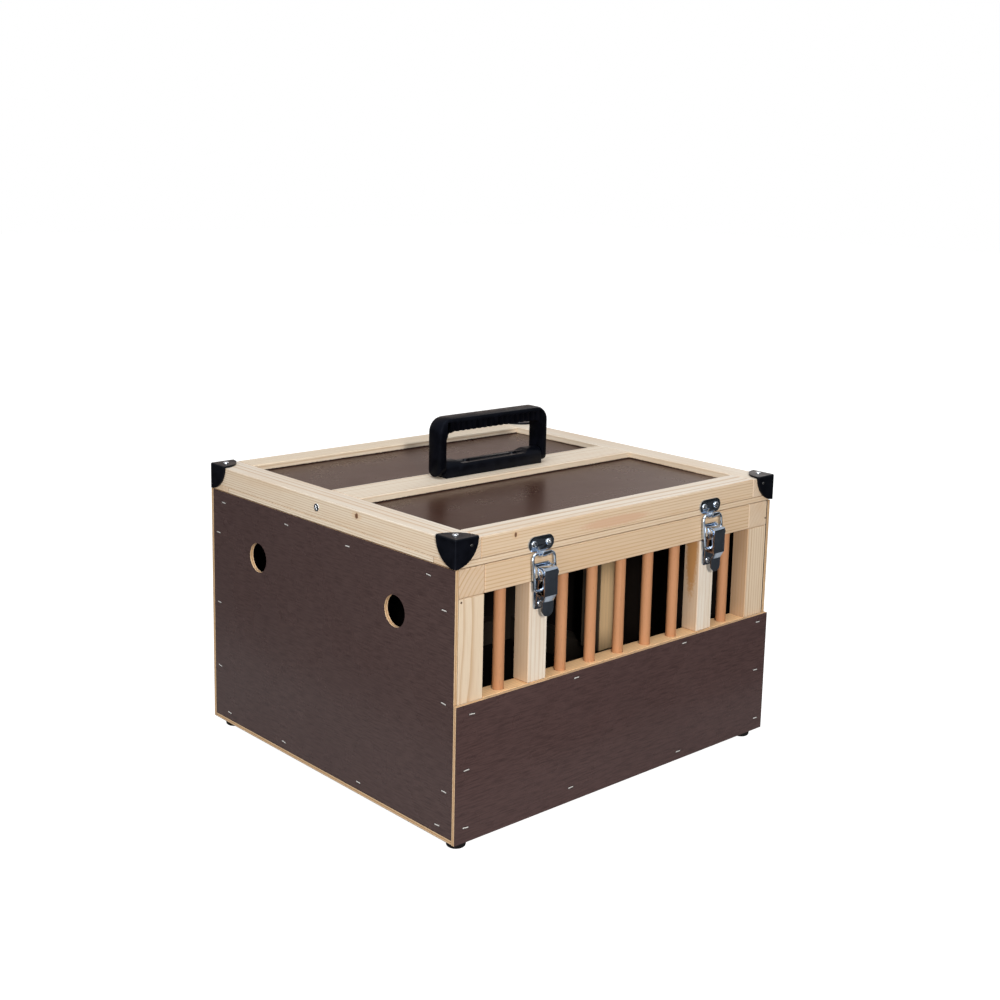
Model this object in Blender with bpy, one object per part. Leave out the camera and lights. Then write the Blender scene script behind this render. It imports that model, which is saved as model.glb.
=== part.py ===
"""Small-animal carrying box: spruce frame, brown ply walls, dowel grille and a hinged lid.

Run with: blender --background --python part.py
Metres, +Z up, front towards -Y, left towards -X, ground at Z = 0.
"""

from math import cos, pi, radians, sin

import bmesh
import bpy
from mathutils import Matrix, Vector

for old_object in list(bpy.data.objects):
    bpy.data.objects.remove(old_object, do_unlink=True)

mm = 0.001

# Body of the box
box_width = 400 * mm
box_depth = 368 * mm
body_height = 231.5 * mm
front_panel_height = 119 * mm
wall = 4 * mm
fit_gap = 0.3 * mm
eased_edge = 0.6 * mm

# Battens of the body frame
post_width = 27 * mm
batten_depth = 18 * mm
top_rail_height = 24 * mm
bottom_rail_height = 27 * mm
sill_height = 24 * mm
centre_post_offset = 26 * mm

# Dowel grille in the front
mullion_width = 21 * mm
mullion_spacing = 216 * mm
dowel_diameter = 10 * mm
dowel_pitch = 36 * mm
dowel_socket = 8 * mm

# Air holes in the side walls
vent_diameter = 28 * mm
vent_spacing = 206 * mm
vent_height = 179.5 * mm

# Rubber feet
foot_height = 8 * mm
foot_diameter = 18 * mm
foot_inset = 14 * mm
foot_taper = 0.7 * mm
foot_round = 2 * mm
foot_recess_diameter = 8 * mm
foot_recess_depth = 4 * mm

# Lid frame, its two panels and the slats under it
lid_gap = 1 * mm
lid_rail_width = 27 * mm
lid_rail_height = 18 * mm
lid_middle_rail_width = 43 * mm
lid_middle_rail_offset = 3.5 * mm
lid_slat_thickness = 4.5 * mm
lid_panel_recess = 6.5 * mm
lid_groove_depth = 6 * mm

# Plastic caps on the lid corners
cap_radius = 24.8 * mm
cap_thickness = 1.8 * mm
cap_edge_radius = 1.4 * mm

# Folding carry handle, set a little behind the middle of its rail
handle_offset = 3 * mm
handle_width = 138 * mm
handle_height = 57 * mm
handle_depth = 19 * mm
handle_leg = 7.5 * mm
handle_bar = 13 * mm
handle_corner_radius = 14 * mm
handle_inner_radius = 9 * mm
handle_rim_round = 3 * mm
handle_ground_gap = 1.5 * mm
handle_side_gap = 0.4 * mm
handle_rib_pitch = 6.85 * mm
handle_rib_groove = 3.4 * mm
handle_rib_depth = 1.6 * mm
handle_rim = 4.3 * mm
handle_base_height = 12.5 * mm
handle_boss_rise = 3.5 * mm
handle_boss_length = 21 * mm
handle_boss_slope = 7 * mm
handle_boss_round = 7 * mm
handle_pin_diameter = 6 * mm
handle_pin_reach = 4.4 * mm
handle_screw_spacing = 60 * mm
handle_screw_recess = 9 * mm
handle_screw_recess_depth = 5 * mm

# Toggle latches, heights counted from the underside of the floor, reaches from the post fronts
latch_sheet = 1.2 * mm
latch_pin_height = 216 * mm
latch_pin_reach = 9 * mm
latch_pin_diameter = 3 * mm
latch_rivet_diameter = 4.6 * mm
latch_rivet_rise = 0.6 * mm
latch_base_bottom = 183.3 * mm
latch_hook_gap = 6.1 * mm
latch_base_width = 15 * mm
latch_base_corner = 3 * mm
latch_ear_radius = 4.6 * mm
latch_ear_bottom = 207 * mm
latch_ear_gap = 0.8 * mm
latch_screw_height = 187.6 * mm
latch_screw_hole = 3.4 * mm
lever_width = 14.8 * mm
lever_front_reach = 14.5 * mm
lever_flange_depth = 9.5 * mm
lever_top_rise = 5.4 * mm
lever_corner_radius = 3 * mm
lever_channel_length = 24 * mm
lever_step = 3.5 * mm
lever_step_length = 6 * mm
lever_tab_length = 12.5 * mm
lever_tab_width = 13 * mm
lever_tab_round = 6 * mm
bail_wire = 2.5 * mm
bail_span = 24.8 * mm
bail_bend_radius = 5 * mm
bail_end_radius = 2.6 * mm
bail_end_bite = 1.6 * mm
bail_pin_drop = 14.5 * mm
bail_pin_inset = 1 * mm
bail_bar_rise = 30.5 * mm
bail_bar_inset = 3.7 * mm
catch_width = 29 * mm
catch_height = 13 * mm
catch_rise = 7.5 * mm
catch_hole_spacing = 16.6 * mm
hook_width = 9 * mm
hook_inner_radius = 3.35 * mm
hook_play = 0.45 * mm
hook_lip = 0.6 * mm

# Butt hinges at the back, let into the edges
hinge_spacing = 220 * mm
hinge_length = 50 * mm
hinge_leaf = 1.2 * mm
hinge_leaf_reach = 20 * mm
hinge_leaf_gap = 0.3 * mm
hinge_knuckle_radius = 3 * mm
hinge_knuckle_standoff = 0.5 * mm
hinge_knuckles = 5
hinge_pin_radius = 1.4 * mm
hinge_hole = 4 * mm
hinge_hole_spacing = 18 * mm

# Places worked out from the sizes above
lever_overhang = lever_front_reach - wall
hinge_axis_offset = hinge_knuckle_standoff + hinge_knuckle_radius
middle_y = (lever_overhang - hinge_axis_offset - hinge_knuckle_radius) / 2
half_width = box_width / 2
front_y = middle_y - box_depth / 2
back_y = middle_y + box_depth / 2
frame_front_y = front_y + wall
frame_back_y = back_y - wall
frame_half_width = half_width - wall - fit_gap
floor_bottom = foot_height + fit_gap
floor_top = floor_bottom + wall
wall_foot = floor_top + fit_gap
body_top = floor_bottom + body_height
top_rail_bottom = body_top - top_rail_height
sill_top = floor_bottom + front_panel_height
lid_bottom = body_top + lid_gap
slat_top = lid_bottom + lid_slat_thickness
lid_rail_bottom = slat_top + fit_gap
lid_top = lid_rail_bottom + lid_rail_height
middle_rail_y = middle_y + lid_middle_rail_offset
handle_y = middle_rail_y + handle_offset
hinge_axis = Vector((0, back_y + hinge_axis_offset, body_top + lid_gap / 2))
handle_axis = Vector((0, handle_y, lid_top + handle_ground_gap + handle_depth / 2))


def make_material(name, colour, roughness, metallic=0.0):
    """A Principled material of one colour."""
    material = bpy.data.materials.new(name)
    material.use_nodes = True
    shader = material.node_tree.nodes["Principled BSDF"]
    shader.inputs["Base Color"].default_value = (*colour, 1.0)
    shader.inputs["Roughness"].default_value = roughness
    shader.inputs["Metallic"].default_value = metallic
    material.diffuse_color = (*colour, 1.0)
    return material


spruce = make_material("spruce", (0.70, 0.55, 0.37), 0.62)
beech = make_material("beech", (0.55, 0.30, 0.15), 0.50)
brown_ply = make_material("brown film-faced ply", (0.062, 0.034, 0.031), 0.35)
black_plastic = make_material("black plastic", (0.012, 0.012, 0.014), 0.38)
zinc = make_material("zinc-plated steel", (0.62, 0.66, 0.70), 0.28, 1.0)
rubber = make_material("black rubber", (0.010, 0.010, 0.010), 0.75)

pieces = []
tools = []


def world_place(thing):
    """The world place of an object whose parents are only moved, never turned."""
    place = thing.location.copy()
    while thing.parent is not None:
        thing = thing.parent
        place += thing.location
    return place


def link_object(name, data, origin, parent):
    """Put an object in the scene with its origin at a world place."""
    thing = bpy.data.objects.new(name, data)
    bpy.context.scene.collection.objects.link(thing)
    thing.location = origin
    if parent is not None:
        thing.parent = parent
        thing.location = Vector(origin) - world_place(parent)
    return thing


def mesh_of(solid, name, origin):
    """A mesh from a bmesh drawn in world coordinates, moved to its object's origin."""
    bmesh.ops.translate(solid, vec=-Vector(origin), verts=solid.verts[:])
    bmesh.ops.recalc_face_normals(solid, faces=solid.faces[:])
    mesh = bpy.data.meshes.new(name)
    solid.to_mesh(mesh)
    solid.free()
    return mesh


def add_piece(name, solid, origin, material, parent=None):
    """A named piece of the box."""
    mesh = mesh_of(solid, name, origin)
    mesh.materials.append(material)
    piece = link_object(name, mesh, origin, parent)
    pieces.append(piece)
    return piece


def make_tool(name, solid):
    """A hidden solid that cuts, joins or trims a piece."""
    tool = link_object(name, mesh_of(solid, name, (0, 0, 0)), (0, 0, 0), None)
    tool.hide_render = True
    tool.display_type = "WIRE"
    tools.append(tool)
    return tool


def shape_with(piece, tool, operation):
    """One exact Boolean step: DIFFERENCE, UNION or INTERSECT."""
    step = piece.modifiers.new(tool.name, "BOOLEAN")
    step.object = tool
    step.operation = operation
    step.solver = "EXACT"


def box_solid(x, y, z):
    """A box between two places on each axis."""
    solid = bmesh.new()
    bmesh.ops.create_cube(solid, size=1.0)
    bmesh.ops.scale(solid, vec=(x[1] - x[0], y[1] - y[0], z[1] - z[0]), verts=solid.verts[:])
    middle = Vector((x[0] + x[1], y[0] + y[1], z[0] + z[1])) / 2
    bmesh.ops.translate(solid, vec=middle, verts=solid.verts[:])
    return solid


def rod_solid(middle, radius, length, axis, segments=24):
    """A cylinder along X, Y or Z."""
    solid = bmesh.new()
    bmesh.ops.create_cone(solid, cap_ends=True, segments=segments,
                          radius1=radius, radius2=radius, depth=length)
    turns = {"X": Matrix.Rotation(pi / 2, 3, "Y"), "Y": Matrix.Rotation(pi / 2, 3, "X"),
             "Z": Matrix.Identity(3)}
    bmesh.ops.rotate(solid, cent=(0, 0, 0), matrix=turns[axis], verts=solid.verts[:])
    bmesh.ops.translate(solid, vec=middle, verts=solid.verts[:])
    return solid


def outline_solid(outline, place, depth):
    """An outline of (a, b) points, put in space by place(a, b, c) and extruded from c = 0 to depth."""
    solid = bmesh.new()
    face = solid.faces.new([solid.verts.new(place(a, b, 0.0)) for a, b in outline])
    grown = bmesh.ops.extrude_face_region(solid, geom=[face])
    moved = [item for item in grown["geom"] if isinstance(item, bmesh.types.BMVert)]
    shift = Vector(place(0, 0, depth)) - Vector(place(0, 0, 0))
    bmesh.ops.translate(solid, vec=shift, verts=moved)
    return solid


def turned_solid(profile, middle, steps=24):
    """A profile of (radius, height) points that starts and ends on the axis, spun about Z."""
    solid = bmesh.new()
    points = [solid.verts.new((radius, 0, height)) for radius, height in profile]
    edges = [solid.edges.new(pair) for pair in zip(points, points[1:])]
    bmesh.ops.spin(solid, geom=points + edges, cent=(0, 0, 0), axis=(0, 0, 1),
                   angle=2 * pi, steps=steps, use_merge=True)
    bmesh.ops.remove_doubles(solid, verts=solid.verts[:], dist=0.01 * mm)
    bmesh.ops.translate(solid, vec=middle, verts=solid.verts[:])
    return solid


def wire_solid(points, diameter):
    """A round wire along points, with closed ends."""
    curve = bpy.data.curves.new("wire", "CURVE")
    curve.dimensions = "3D"
    curve.bevel_depth = diameter / 2
    curve.bevel_resolution = 3
    curve.use_fill_caps = True
    spline = curve.splines.new("POLY")
    spline.points.add(len(points) - 1)
    for spline_point, point in zip(spline.points, points):
        spline_point.co = (*point, 1.0)
    wire = link_object("wire", curve, (0, 0, 0), None)
    mesh = bpy.data.meshes.new_from_object(wire.evaluated_get(bpy.context.evaluated_depsgraph_get()))
    solid = bmesh.new()
    solid.from_mesh(mesh)
    bmesh.ops.remove_doubles(solid, verts=solid.verts[:], dist=0.001 * mm)
    bpy.data.objects.remove(wire, do_unlink=True)
    bpy.data.curves.remove(curve)
    bpy.data.meshes.remove(mesh)
    return solid


def joined(solids):
    """Several separate solids as one."""
    together = bmesh.new()
    for solid in solids:
        mesh = mesh_of(solid, "joined", (0, 0, 0))
        together.from_mesh(mesh)
        bpy.data.meshes.remove(mesh)
    return together


def arc(middle, radius, start, end, steps):
    """Points along an arc round (a, b), angles in degrees from the first axis."""
    angles = [radians(start + (end - start) * step / steps) for step in range(steps + 1)]
    return [(middle[0] + radius * cos(angle), middle[1] + radius * sin(angle)) for angle in angles]


def sawn(name, x, y, z, material, parent=None, eased=0.0):
    """A sawn board or batten, with its origin in its middle and its edges eased."""
    middle = Vector((x[0] + x[1], y[0] + y[1], z[0] + z[1])) / 2
    piece = add_piece(name, box_solid(x, y, z), middle, material, parent)
    if eased:
        step = piece.modifiers.new("eased edges", "BEVEL")
        step.width = eased
        step.segments = 1
    return piece


# Walls and floor: ply boards stapled over the frame, the sides with two air holes each
sawn("front_panel", (-half_width, half_width), (front_y, frame_front_y - fit_gap),
     (floor_bottom, sill_top), brown_ply)
back_panel = sawn("back_panel", (-half_width, half_width), (frame_back_y + fit_gap, back_y),
                  (floor_bottom, body_top), brown_ply)
sawn("floor_panel", (-half_width, half_width), (frame_front_y, frame_back_y),
     (floor_bottom, floor_top), brown_ply)

vent_rods = []
for end in (-1, 1):
    vent_middle = (0, middle_y + end * vent_spacing / 2, floor_bottom + vent_height)
    vent_rods.append(rod_solid(vent_middle, vent_diameter / 2, box_width + 2 * wall, "X", 40))
vent_tool = make_tool("vent drill", joined(vent_rods))
for side, sign in (("left", -1), ("right", 1)):
    panel_x = sorted((sign * half_width, sign * (half_width - wall)))
    side_panel = sawn(side + "_side_panel", panel_x, (frame_front_y, frame_back_y),
                      (wall_foot, body_top), brown_ply)
    shape_with(side_panel, vent_tool, "DIFFERENCE")

# Body frame: posts under the long side rails, short rails butted between them
post_inside = frame_half_width - post_width
post_top = top_rail_bottom - fit_gap
row_y = {"front": (frame_front_y, frame_front_y + batten_depth),
         "back": (frame_back_y - batten_depth, frame_back_y)}
bottom_rail_z = (wall_foot, wall_foot + bottom_rail_height)
top_rail_z = (top_rail_bottom, body_top)
between_posts = (-post_inside + fit_gap, post_inside - fit_gap)
between_rows = (row_y["front"][1] + fit_gap, row_y["back"][0] - fit_gap)
centre_middle = middle_y + centre_post_offset
centre_post_y = (centre_middle - post_width / 2, centre_middle + post_width / 2)
cross_rails = {}
for row, post_y in row_y.items():
    cross_rails[row] = sawn(row + "_top_rail", between_posts, post_y, top_rail_z, spruce, None, eased_edge)
    sawn(row + "_bottom_rail", between_posts, post_y, bottom_rail_z, spruce, None, eased_edge)
for side, sign in (("left", -1), ("right", 1)):
    post_x = sorted((sign * frame_half_width, sign * post_inside))
    rail_x = sorted((sign * frame_half_width, sign * (frame_half_width - batten_depth)))
    for row, post_y in row_y.items():
        sawn(row + "_" + side + "_post", post_x, post_y, (wall_foot, post_top), spruce, None, eased_edge)
    sawn(side + "_top_rail", post_x, (frame_front_y, frame_back_y), top_rail_z, spruce, None, eased_edge)
    sawn(side + "_bottom_rail", rail_x, between_rows, bottom_rail_z, spruce, None, eased_edge)
    sawn(side + "_centre_post", post_x, centre_post_y, (bottom_rail_z[1] + fit_gap, post_top), spruce, None,
         eased_edge)

# Grille: mullions and dowels between the sill and the front rail, the dowels seated in drilled sockets
sill = sawn("grille_sill", between_posts, row_y["front"], (sill_top - sill_height, sill_top),
            spruce, None, eased_edge)
for side, sign in (("left", -1), ("right", 1)):
    mullion_x = sign * mullion_spacing / 2
    sawn(side + "_mullion", (mullion_x - mullion_width / 2, mullion_x + mullion_width / 2),
         row_y["front"], (sill_top + fit_gap, post_top), spruce, None, eased_edge)
dowel_bottom = sill_top - dowel_socket
dowel_length = top_rail_bottom + dowel_socket - dowel_bottom
dowel_z = dowel_bottom + dowel_length / 2
dowel_y = frame_front_y + batten_depth / 2
socket_rods = []
for number, pitches in enumerate((-4, -2, -1, 0, 1, 2, 4), start=1):
    dowel_middle = Vector((pitches * dowel_pitch, dowel_y, dowel_z))
    dowel = rod_solid(dowel_middle, dowel_diameter / 2, dowel_length, "Z")
    add_piece("grille_dowel_" + str(number), dowel, dowel_middle, beech)
    socket_rods.append(rod_solid(dowel_middle, dowel_diameter / 2 + fit_gap,
                                 dowel_length + 2 * fit_gap, "Z"))
socket_tool = make_tool("dowel socket drill", joined(socket_rods))
for drilled in (sill, cross_rails["front"]):
    shape_with(drilled, socket_tool, "DIFFERENCE")

# Feet: turned rubber, tapered, with a screw recess underneath
foot_radius = foot_diameter / 2
foot_tip = foot_radius - foot_taper
foot_profile = [(0, foot_height), (foot_radius, foot_height)]
foot_profile += arc((foot_tip - foot_round, foot_round), foot_round, 0, -90, 4)
foot_profile += [(foot_recess_diameter / 2, 0), (foot_recess_diameter / 2, foot_recess_depth),
                 (0, foot_recess_depth)]
for row, foot_y in (("front", front_y + foot_inset), ("back", back_y - foot_inset)):
    for side, sign in (("left", -1), ("right", 1)):
        foot_place = Vector((sign * (half_width - foot_inset), foot_y, 0))
        add_piece(row + "_" + side + "_foot", turned_solid(foot_profile, foot_place), foot_place, rubber)

# Lid frame: long side rails with the front, middle and back rails butted between them
lid_axis = link_object("lid axis", None, hinge_axis, None)
lid_y = (frame_front_y, frame_back_y)
lid_z = (lid_rail_bottom, lid_top)
lid_inside = half_width - lid_rail_width
across_lid = (-lid_inside + fit_gap, lid_inside - fit_gap)
lid_rows = {"front": (lid_y[0], lid_y[0] + lid_rail_width),
            "middle": (middle_rail_y - lid_middle_rail_width / 2, middle_rail_y + lid_middle_rail_width / 2),
            "back": (lid_y[1] - lid_rail_width, lid_y[1])}
lid_rails = {}
for row, rail_y in lid_rows.items():
    lid_rails[row] = sawn("lid_" + row + "_rail", across_lid, rail_y, lid_z, spruce, lid_axis, eased_edge)
for side, sign in (("left", -1), ("right", 1)):
    rail_x = sorted((sign * half_width, sign * lid_inside))
    lid_rails[side] = sawn("lid_" + side + "_rail", rail_x, lid_y, lid_z, spruce, lid_axis, eased_edge)

# Lid panels: ply held in grooves round both bays of the lid frame
panel_z = (lid_top - lid_panel_recess - wall, lid_top - lid_panel_recess)
groove_z = (panel_z[0] - fit_gap, panel_z[1] + fit_gap)
groove_x = (-lid_inside - lid_groove_depth, lid_inside + lid_groove_depth)
for row, bay in (("front", (lid_rows["front"][1], lid_rows["middle"][0])),
                 ("back", (lid_rows["middle"][1], lid_rows["back"][0]))):
    groove_y = (bay[0] - lid_groove_depth, bay[1] + lid_groove_depth)
    groove_tool = make_tool(row + " panel groove", box_solid(groove_x, groove_y, groove_z))
    for rail in ("left", "right", "middle", row):
        shape_with(lid_rails[rail], groove_tool, "DIFFERENCE")
    sawn("lid_" + row + "_panel", (groove_x[0] + fit_gap, groove_x[1] - fit_gap),
         (groove_y[0] + fit_gap, groove_y[1] - fit_gap), panel_z, brown_ply, lid_axis)

# Slats under the lid rails: one flat frame as wide as the rails
slat_frame = sawn("lid_slat_frame", (-half_width, half_width), lid_y, (lid_bottom, slat_top),
                  spruce, lid_axis)
slat_window = box_solid((-lid_inside, lid_inside), (lid_rows["front"][1], lid_rows["back"][0]),
                        (lid_bottom - wall, slat_top + wall))
shape_with(slat_frame, make_tool("slat window", slat_window), "DIFFERENCE")

# Corner caps: thin plastic, three flaps with round edges that meet in the lid's corner
cap_reach = cap_thickness + fit_gap
for row, row_sign, lid_edge in (("front", -1, lid_y[0]), ("back", 1, lid_y[1])):
    for side, sign in (("left", -1), ("right", 1)):
        tip = Vector((sign * (half_width + cap_reach), lid_edge + row_sign * cap_reach, lid_top + cap_reach))
        inside = Vector((-sign, -row_sign, -1))
        near = tip + inside * cap_thickness
        far = near + inside * cap_radius
        beyond = far + inside * cap_thickness
        cap_solid = box_solid(*[sorted(ends) for ends in zip(tip, far)])
        tip_corner = min(cap_solid.verts, key=lambda corner: (corner.co - tip).length)
        bmesh.ops.bevel(cap_solid, geom=list(tip_corner.link_edges), offset=cap_edge_radius,
                        segments=3, profile=0.5, affect="EDGES")
        cap_name = row + "_" + side + "_corner_cap"
        cap = add_piece(cap_name, cap_solid, tip, black_plastic, lid_axis)
        cap_hollow = box_solid(*[sorted(ends) for ends in zip(near, beyond)])
        shape_with(cap, make_tool(cap_name + " hollow", cap_hollow), "DIFFERENCE")
        cap_ball = bmesh.new()
        bmesh.ops.create_uvsphere(cap_ball, u_segments=48, v_segments=24, radius=cap_radius)
        bmesh.ops.translate(cap_ball, vec=tip, verts=cap_ball.verts[:])
        shape_with(cap, make_tool(cap_name + " round", cap_ball), "INTERSECT")

# Handle base: a bar with raised ends, two screw recesses and a pivot pin at each end
base_half = handle_width / 2 - handle_leg - handle_side_gap
base_bottom = lid_top + fit_gap
base_top = lid_top + handle_base_height
boss_top = base_top + handle_boss_rise
boss_start = base_half - handle_boss_length
ramp = [(handle_boss_slope * step / 4, handle_boss_rise * (1 - cos(pi * step / 4)) / 2) for step in range(5)]
base_outline = [(-base_half, base_bottom), (base_half, base_bottom), (base_half, boss_top)]
base_outline += [(boss_start + along, base_top + rise) for along, rise in reversed(ramp)]
base_outline += [(-boss_start - along, base_top + rise) for along, rise in ramp]
base_outline += [(-base_half, boss_top)]
handle_front = handle_y - handle_depth / 2
base_solid = outline_solid(base_outline, lambda a, b, c: (a, handle_front + c, b), handle_depth)
handle_base = add_piece("handle_base", base_solid, (0, handle_y, lid_top), black_plastic, lid_axis)
handle_back = handle_front + handle_depth
boss_round_z = boss_top - handle_boss_round
base_side = [(handle_front, lid_top), (handle_back, lid_top)]
base_side += arc((handle_back - handle_boss_round, boss_round_z), handle_boss_round, 0, 90, 5)
base_side += arc((handle_front + handle_boss_round, boss_round_z), handle_boss_round, 90, 180, 5)
base_trim = outline_solid(base_side, lambda a, b, c: (c - handle_width, a, b), 2 * handle_width)
shape_with(handle_base, make_tool("base side outline", base_trim), "INTERSECT")
handle_pin = rod_solid(handle_axis, handle_pin_diameter / 2, 2 * (base_half + handle_pin_reach), "X")
shape_with(handle_base, make_tool("handle pin", handle_pin), "UNION")
recesses = []
for sign in (-1, 1):
    recess_middle = (sign * handle_screw_spacing / 2, handle_y, base_top)
    recesses.append(rod_solid(recess_middle, handle_screw_recess / 2, 2 * handle_screw_recess_depth, "Z"))
shape_with(handle_base, make_tool("handle screw recesses", joined(recesses)), "DIFFERENCE")

# Handle grip: an arch with round leg ends that turn on the pins, ribbed under a smooth rim
grip_half = handle_width / 2
grip_inside = grip_half - handle_leg
grip_bottom = handle_axis.z - handle_depth / 2
grip_top = lid_top + handle_height
bar_bottom = grip_top - handle_bar
outer_right = arc((grip_half - handle_corner_radius, grip_top - handle_corner_radius),
                  handle_corner_radius, 0, 90, 8)
inner_right = arc((grip_inside - handle_inner_radius, bar_bottom - handle_inner_radius),
                  handle_inner_radius, 0, 90, 6)
arch = [(grip_inside, grip_bottom), (grip_half, grip_bottom)] + outer_right
arch += [(-a, b) for a, b in reversed(outer_right)]
arch += [(-grip_half, grip_bottom), (-grip_inside, grip_bottom)]
arch += [(-a, b) for a, b in inner_right]
arch += list(reversed(inner_right))
grip_solid = outline_solid(arch, lambda a, b, c: (a, handle_front + c, b), handle_depth)
rim_edges = [edge for edge in grip_solid.edges
             if abs(edge.verts[0].co.y - edge.verts[1].co.y) < fit_gap
             and all(abs(end.co.x) > grip_inside + fit_gap or end.co.z > bar_bottom + fit_gap
                     for end in edge.verts)]
bmesh.ops.bevel(grip_solid, geom=rim_edges, offset=handle_rim_round, segments=2, profile=0.5,
                affect="EDGES")
handle_grip = add_piece("handle_grip", grip_solid, handle_axis, black_plastic, lid_axis)
leg_end = handle_depth / 2
side_outline = arc((handle_y, handle_axis.z), leg_end, 180, 360, 16)
side_outline += [(handle_y + leg_end, grip_top + leg_end), (handle_y - leg_end, grip_top + leg_end)]
trim_solid = outline_solid(side_outline, lambda a, b, c: (c - handle_width, a, b), 2 * handle_width)
shape_with(handle_grip, make_tool("grip side outline", trim_solid), "INTERSECT")
rib_count = int(2 * (grip_half - handle_rim) / handle_rib_pitch)
rib_z = (bar_bottom - handle_inner_radius, grip_top - handle_rim)
rib_grooves = []
for number in range(rib_count):
    groove_middle = (number - (rib_count - 1) / 2) * handle_rib_pitch
    groove_x = (groove_middle - handle_rib_groove / 2, groove_middle + handle_rib_groove / 2)
    for face_y, sign in ((handle_front, -1), (handle_back, 1)):
        groove_y = sorted((face_y - sign * handle_rib_depth, face_y + sign * handle_rib_depth))
        rib_grooves.append(box_solid(groove_x, groove_y, rib_z))
shape_with(handle_grip, make_tool("grip ribs", joined(rib_grooves)), "DIFFERENCE")
pin_sockets = []
for sign in (-1, 1):
    socket_length = handle_side_gap + handle_pin_reach + fit_gap
    socket_middle = handle_axis + Vector((sign * (base_half + socket_length / 2), 0, 0))
    pin_sockets.append(rod_solid(socket_middle, handle_pin_diameter / 2 + fit_gap, socket_length, "X"))
shape_with(handle_grip, make_tool("grip pin sockets", joined(pin_sockets)), "DIFFERENCE")


def latch_point(x, reach, height):
    """A place on a latch: reach out of the post fronts, height above the floor's underside."""
    return Vector((x, frame_front_y - reach, floor_bottom + height))


def side_cut(outline, x_low, x_high):
    """A (reach, height) outline as a solid from x_low to x_high."""
    return outline_solid(outline, lambda a, b, c: latch_point(x_low + c, a, b), x_high - x_low)


def front_cut(outline, x, reach_low, reach_high):
    """An (across, height) outline round x as a solid from one reach to another."""
    return outline_solid(outline, lambda a, b, c: latch_point(x + a, reach_low + c, b),
                         reach_high - reach_low)


plate_back = fit_gap
plate_front = plate_back + latch_sheet
bail_pin_reach = latch_pin_reach - bail_pin_inset
bail_pin_height = latch_pin_height - bail_pin_drop
bail_bar_height = bail_pin_height + bail_bar_rise
hook_trough = bail_bar_height - bail_wire / 2 - hook_play
latch_base_top = hook_trough - latch_sheet - latch_hook_gap
lever_half = lever_width / 2
ear_inside = lever_half + latch_ear_gap
ear_outside = ear_inside + latch_sheet


def make_latch_base(name, x):
    """A pressed plate with two ears that carry the riveted pin."""
    base_corner = latch_base_width / 2 - latch_base_corner
    corner_height = latch_base_bottom + latch_base_corner
    right_edge = arc((base_corner, corner_height), latch_base_corner, -90, 0, 4)
    shoulder = ear_outside - latch_base_width / 2
    right_edge += [(latch_base_width / 2, latch_ear_bottom - shoulder), (ear_outside, latch_ear_bottom),
                   (ear_outside, latch_base_top)]
    plate_outline = right_edge + [(-a, b) for a, b in reversed(right_edge)]
    plate = add_piece(name, front_cut(plate_outline, x, plate_back, plate_front),
                      latch_point(x, plate_back, latch_pin_height), zinc)
    ear_outline = [(plate_back, latch_ear_bottom)]
    ear_outline += arc((latch_pin_reach, latch_pin_height), latch_ear_radius, -80, 80, 10)
    ear_outline += [(plate_back, latch_base_top)]
    ears = [side_cut(ear_outline, x - ear_outside, x - ear_inside),
            side_cut(ear_outline, x + ear_inside, x + ear_outside)]
    shape_with(plate, make_tool(name + " ears", joined(ears)), "UNION")
    pin_middle = latch_point(x, latch_pin_reach, latch_pin_height)
    rivet_radius = latch_rivet_diameter / 2
    rivet_end = -ear_outside - latch_rivet_rise
    rivet_neck = -ear_outside + latch_sheet / 2
    pin_profile = [(0, rivet_end), (rivet_radius, rivet_end), (rivet_radius, rivet_neck),
                   (latch_pin_diameter / 2, rivet_neck)]
    pin_profile += [(radius, -along) for radius, along in reversed(pin_profile)]
    pin = turned_solid(pin_profile, (0, 0, 0), 20)
    bmesh.ops.rotate(pin, cent=(0, 0, 0), matrix=Matrix.Rotation(pi / 2, 3, "Y"), verts=pin.verts[:])
    bmesh.ops.translate(pin, vec=pin_middle, verts=pin.verts[:])
    shape_with(plate, make_tool(name + " pin", pin), "UNION")
    screw_hole = rod_solid(latch_point(x, plate_back, latch_screw_height), latch_screw_hole / 2,
                           4 * latch_sheet, "Y", 20)
    shape_with(plate, make_tool(name + " screw hole", screw_hole), "DIFFERENCE")


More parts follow.
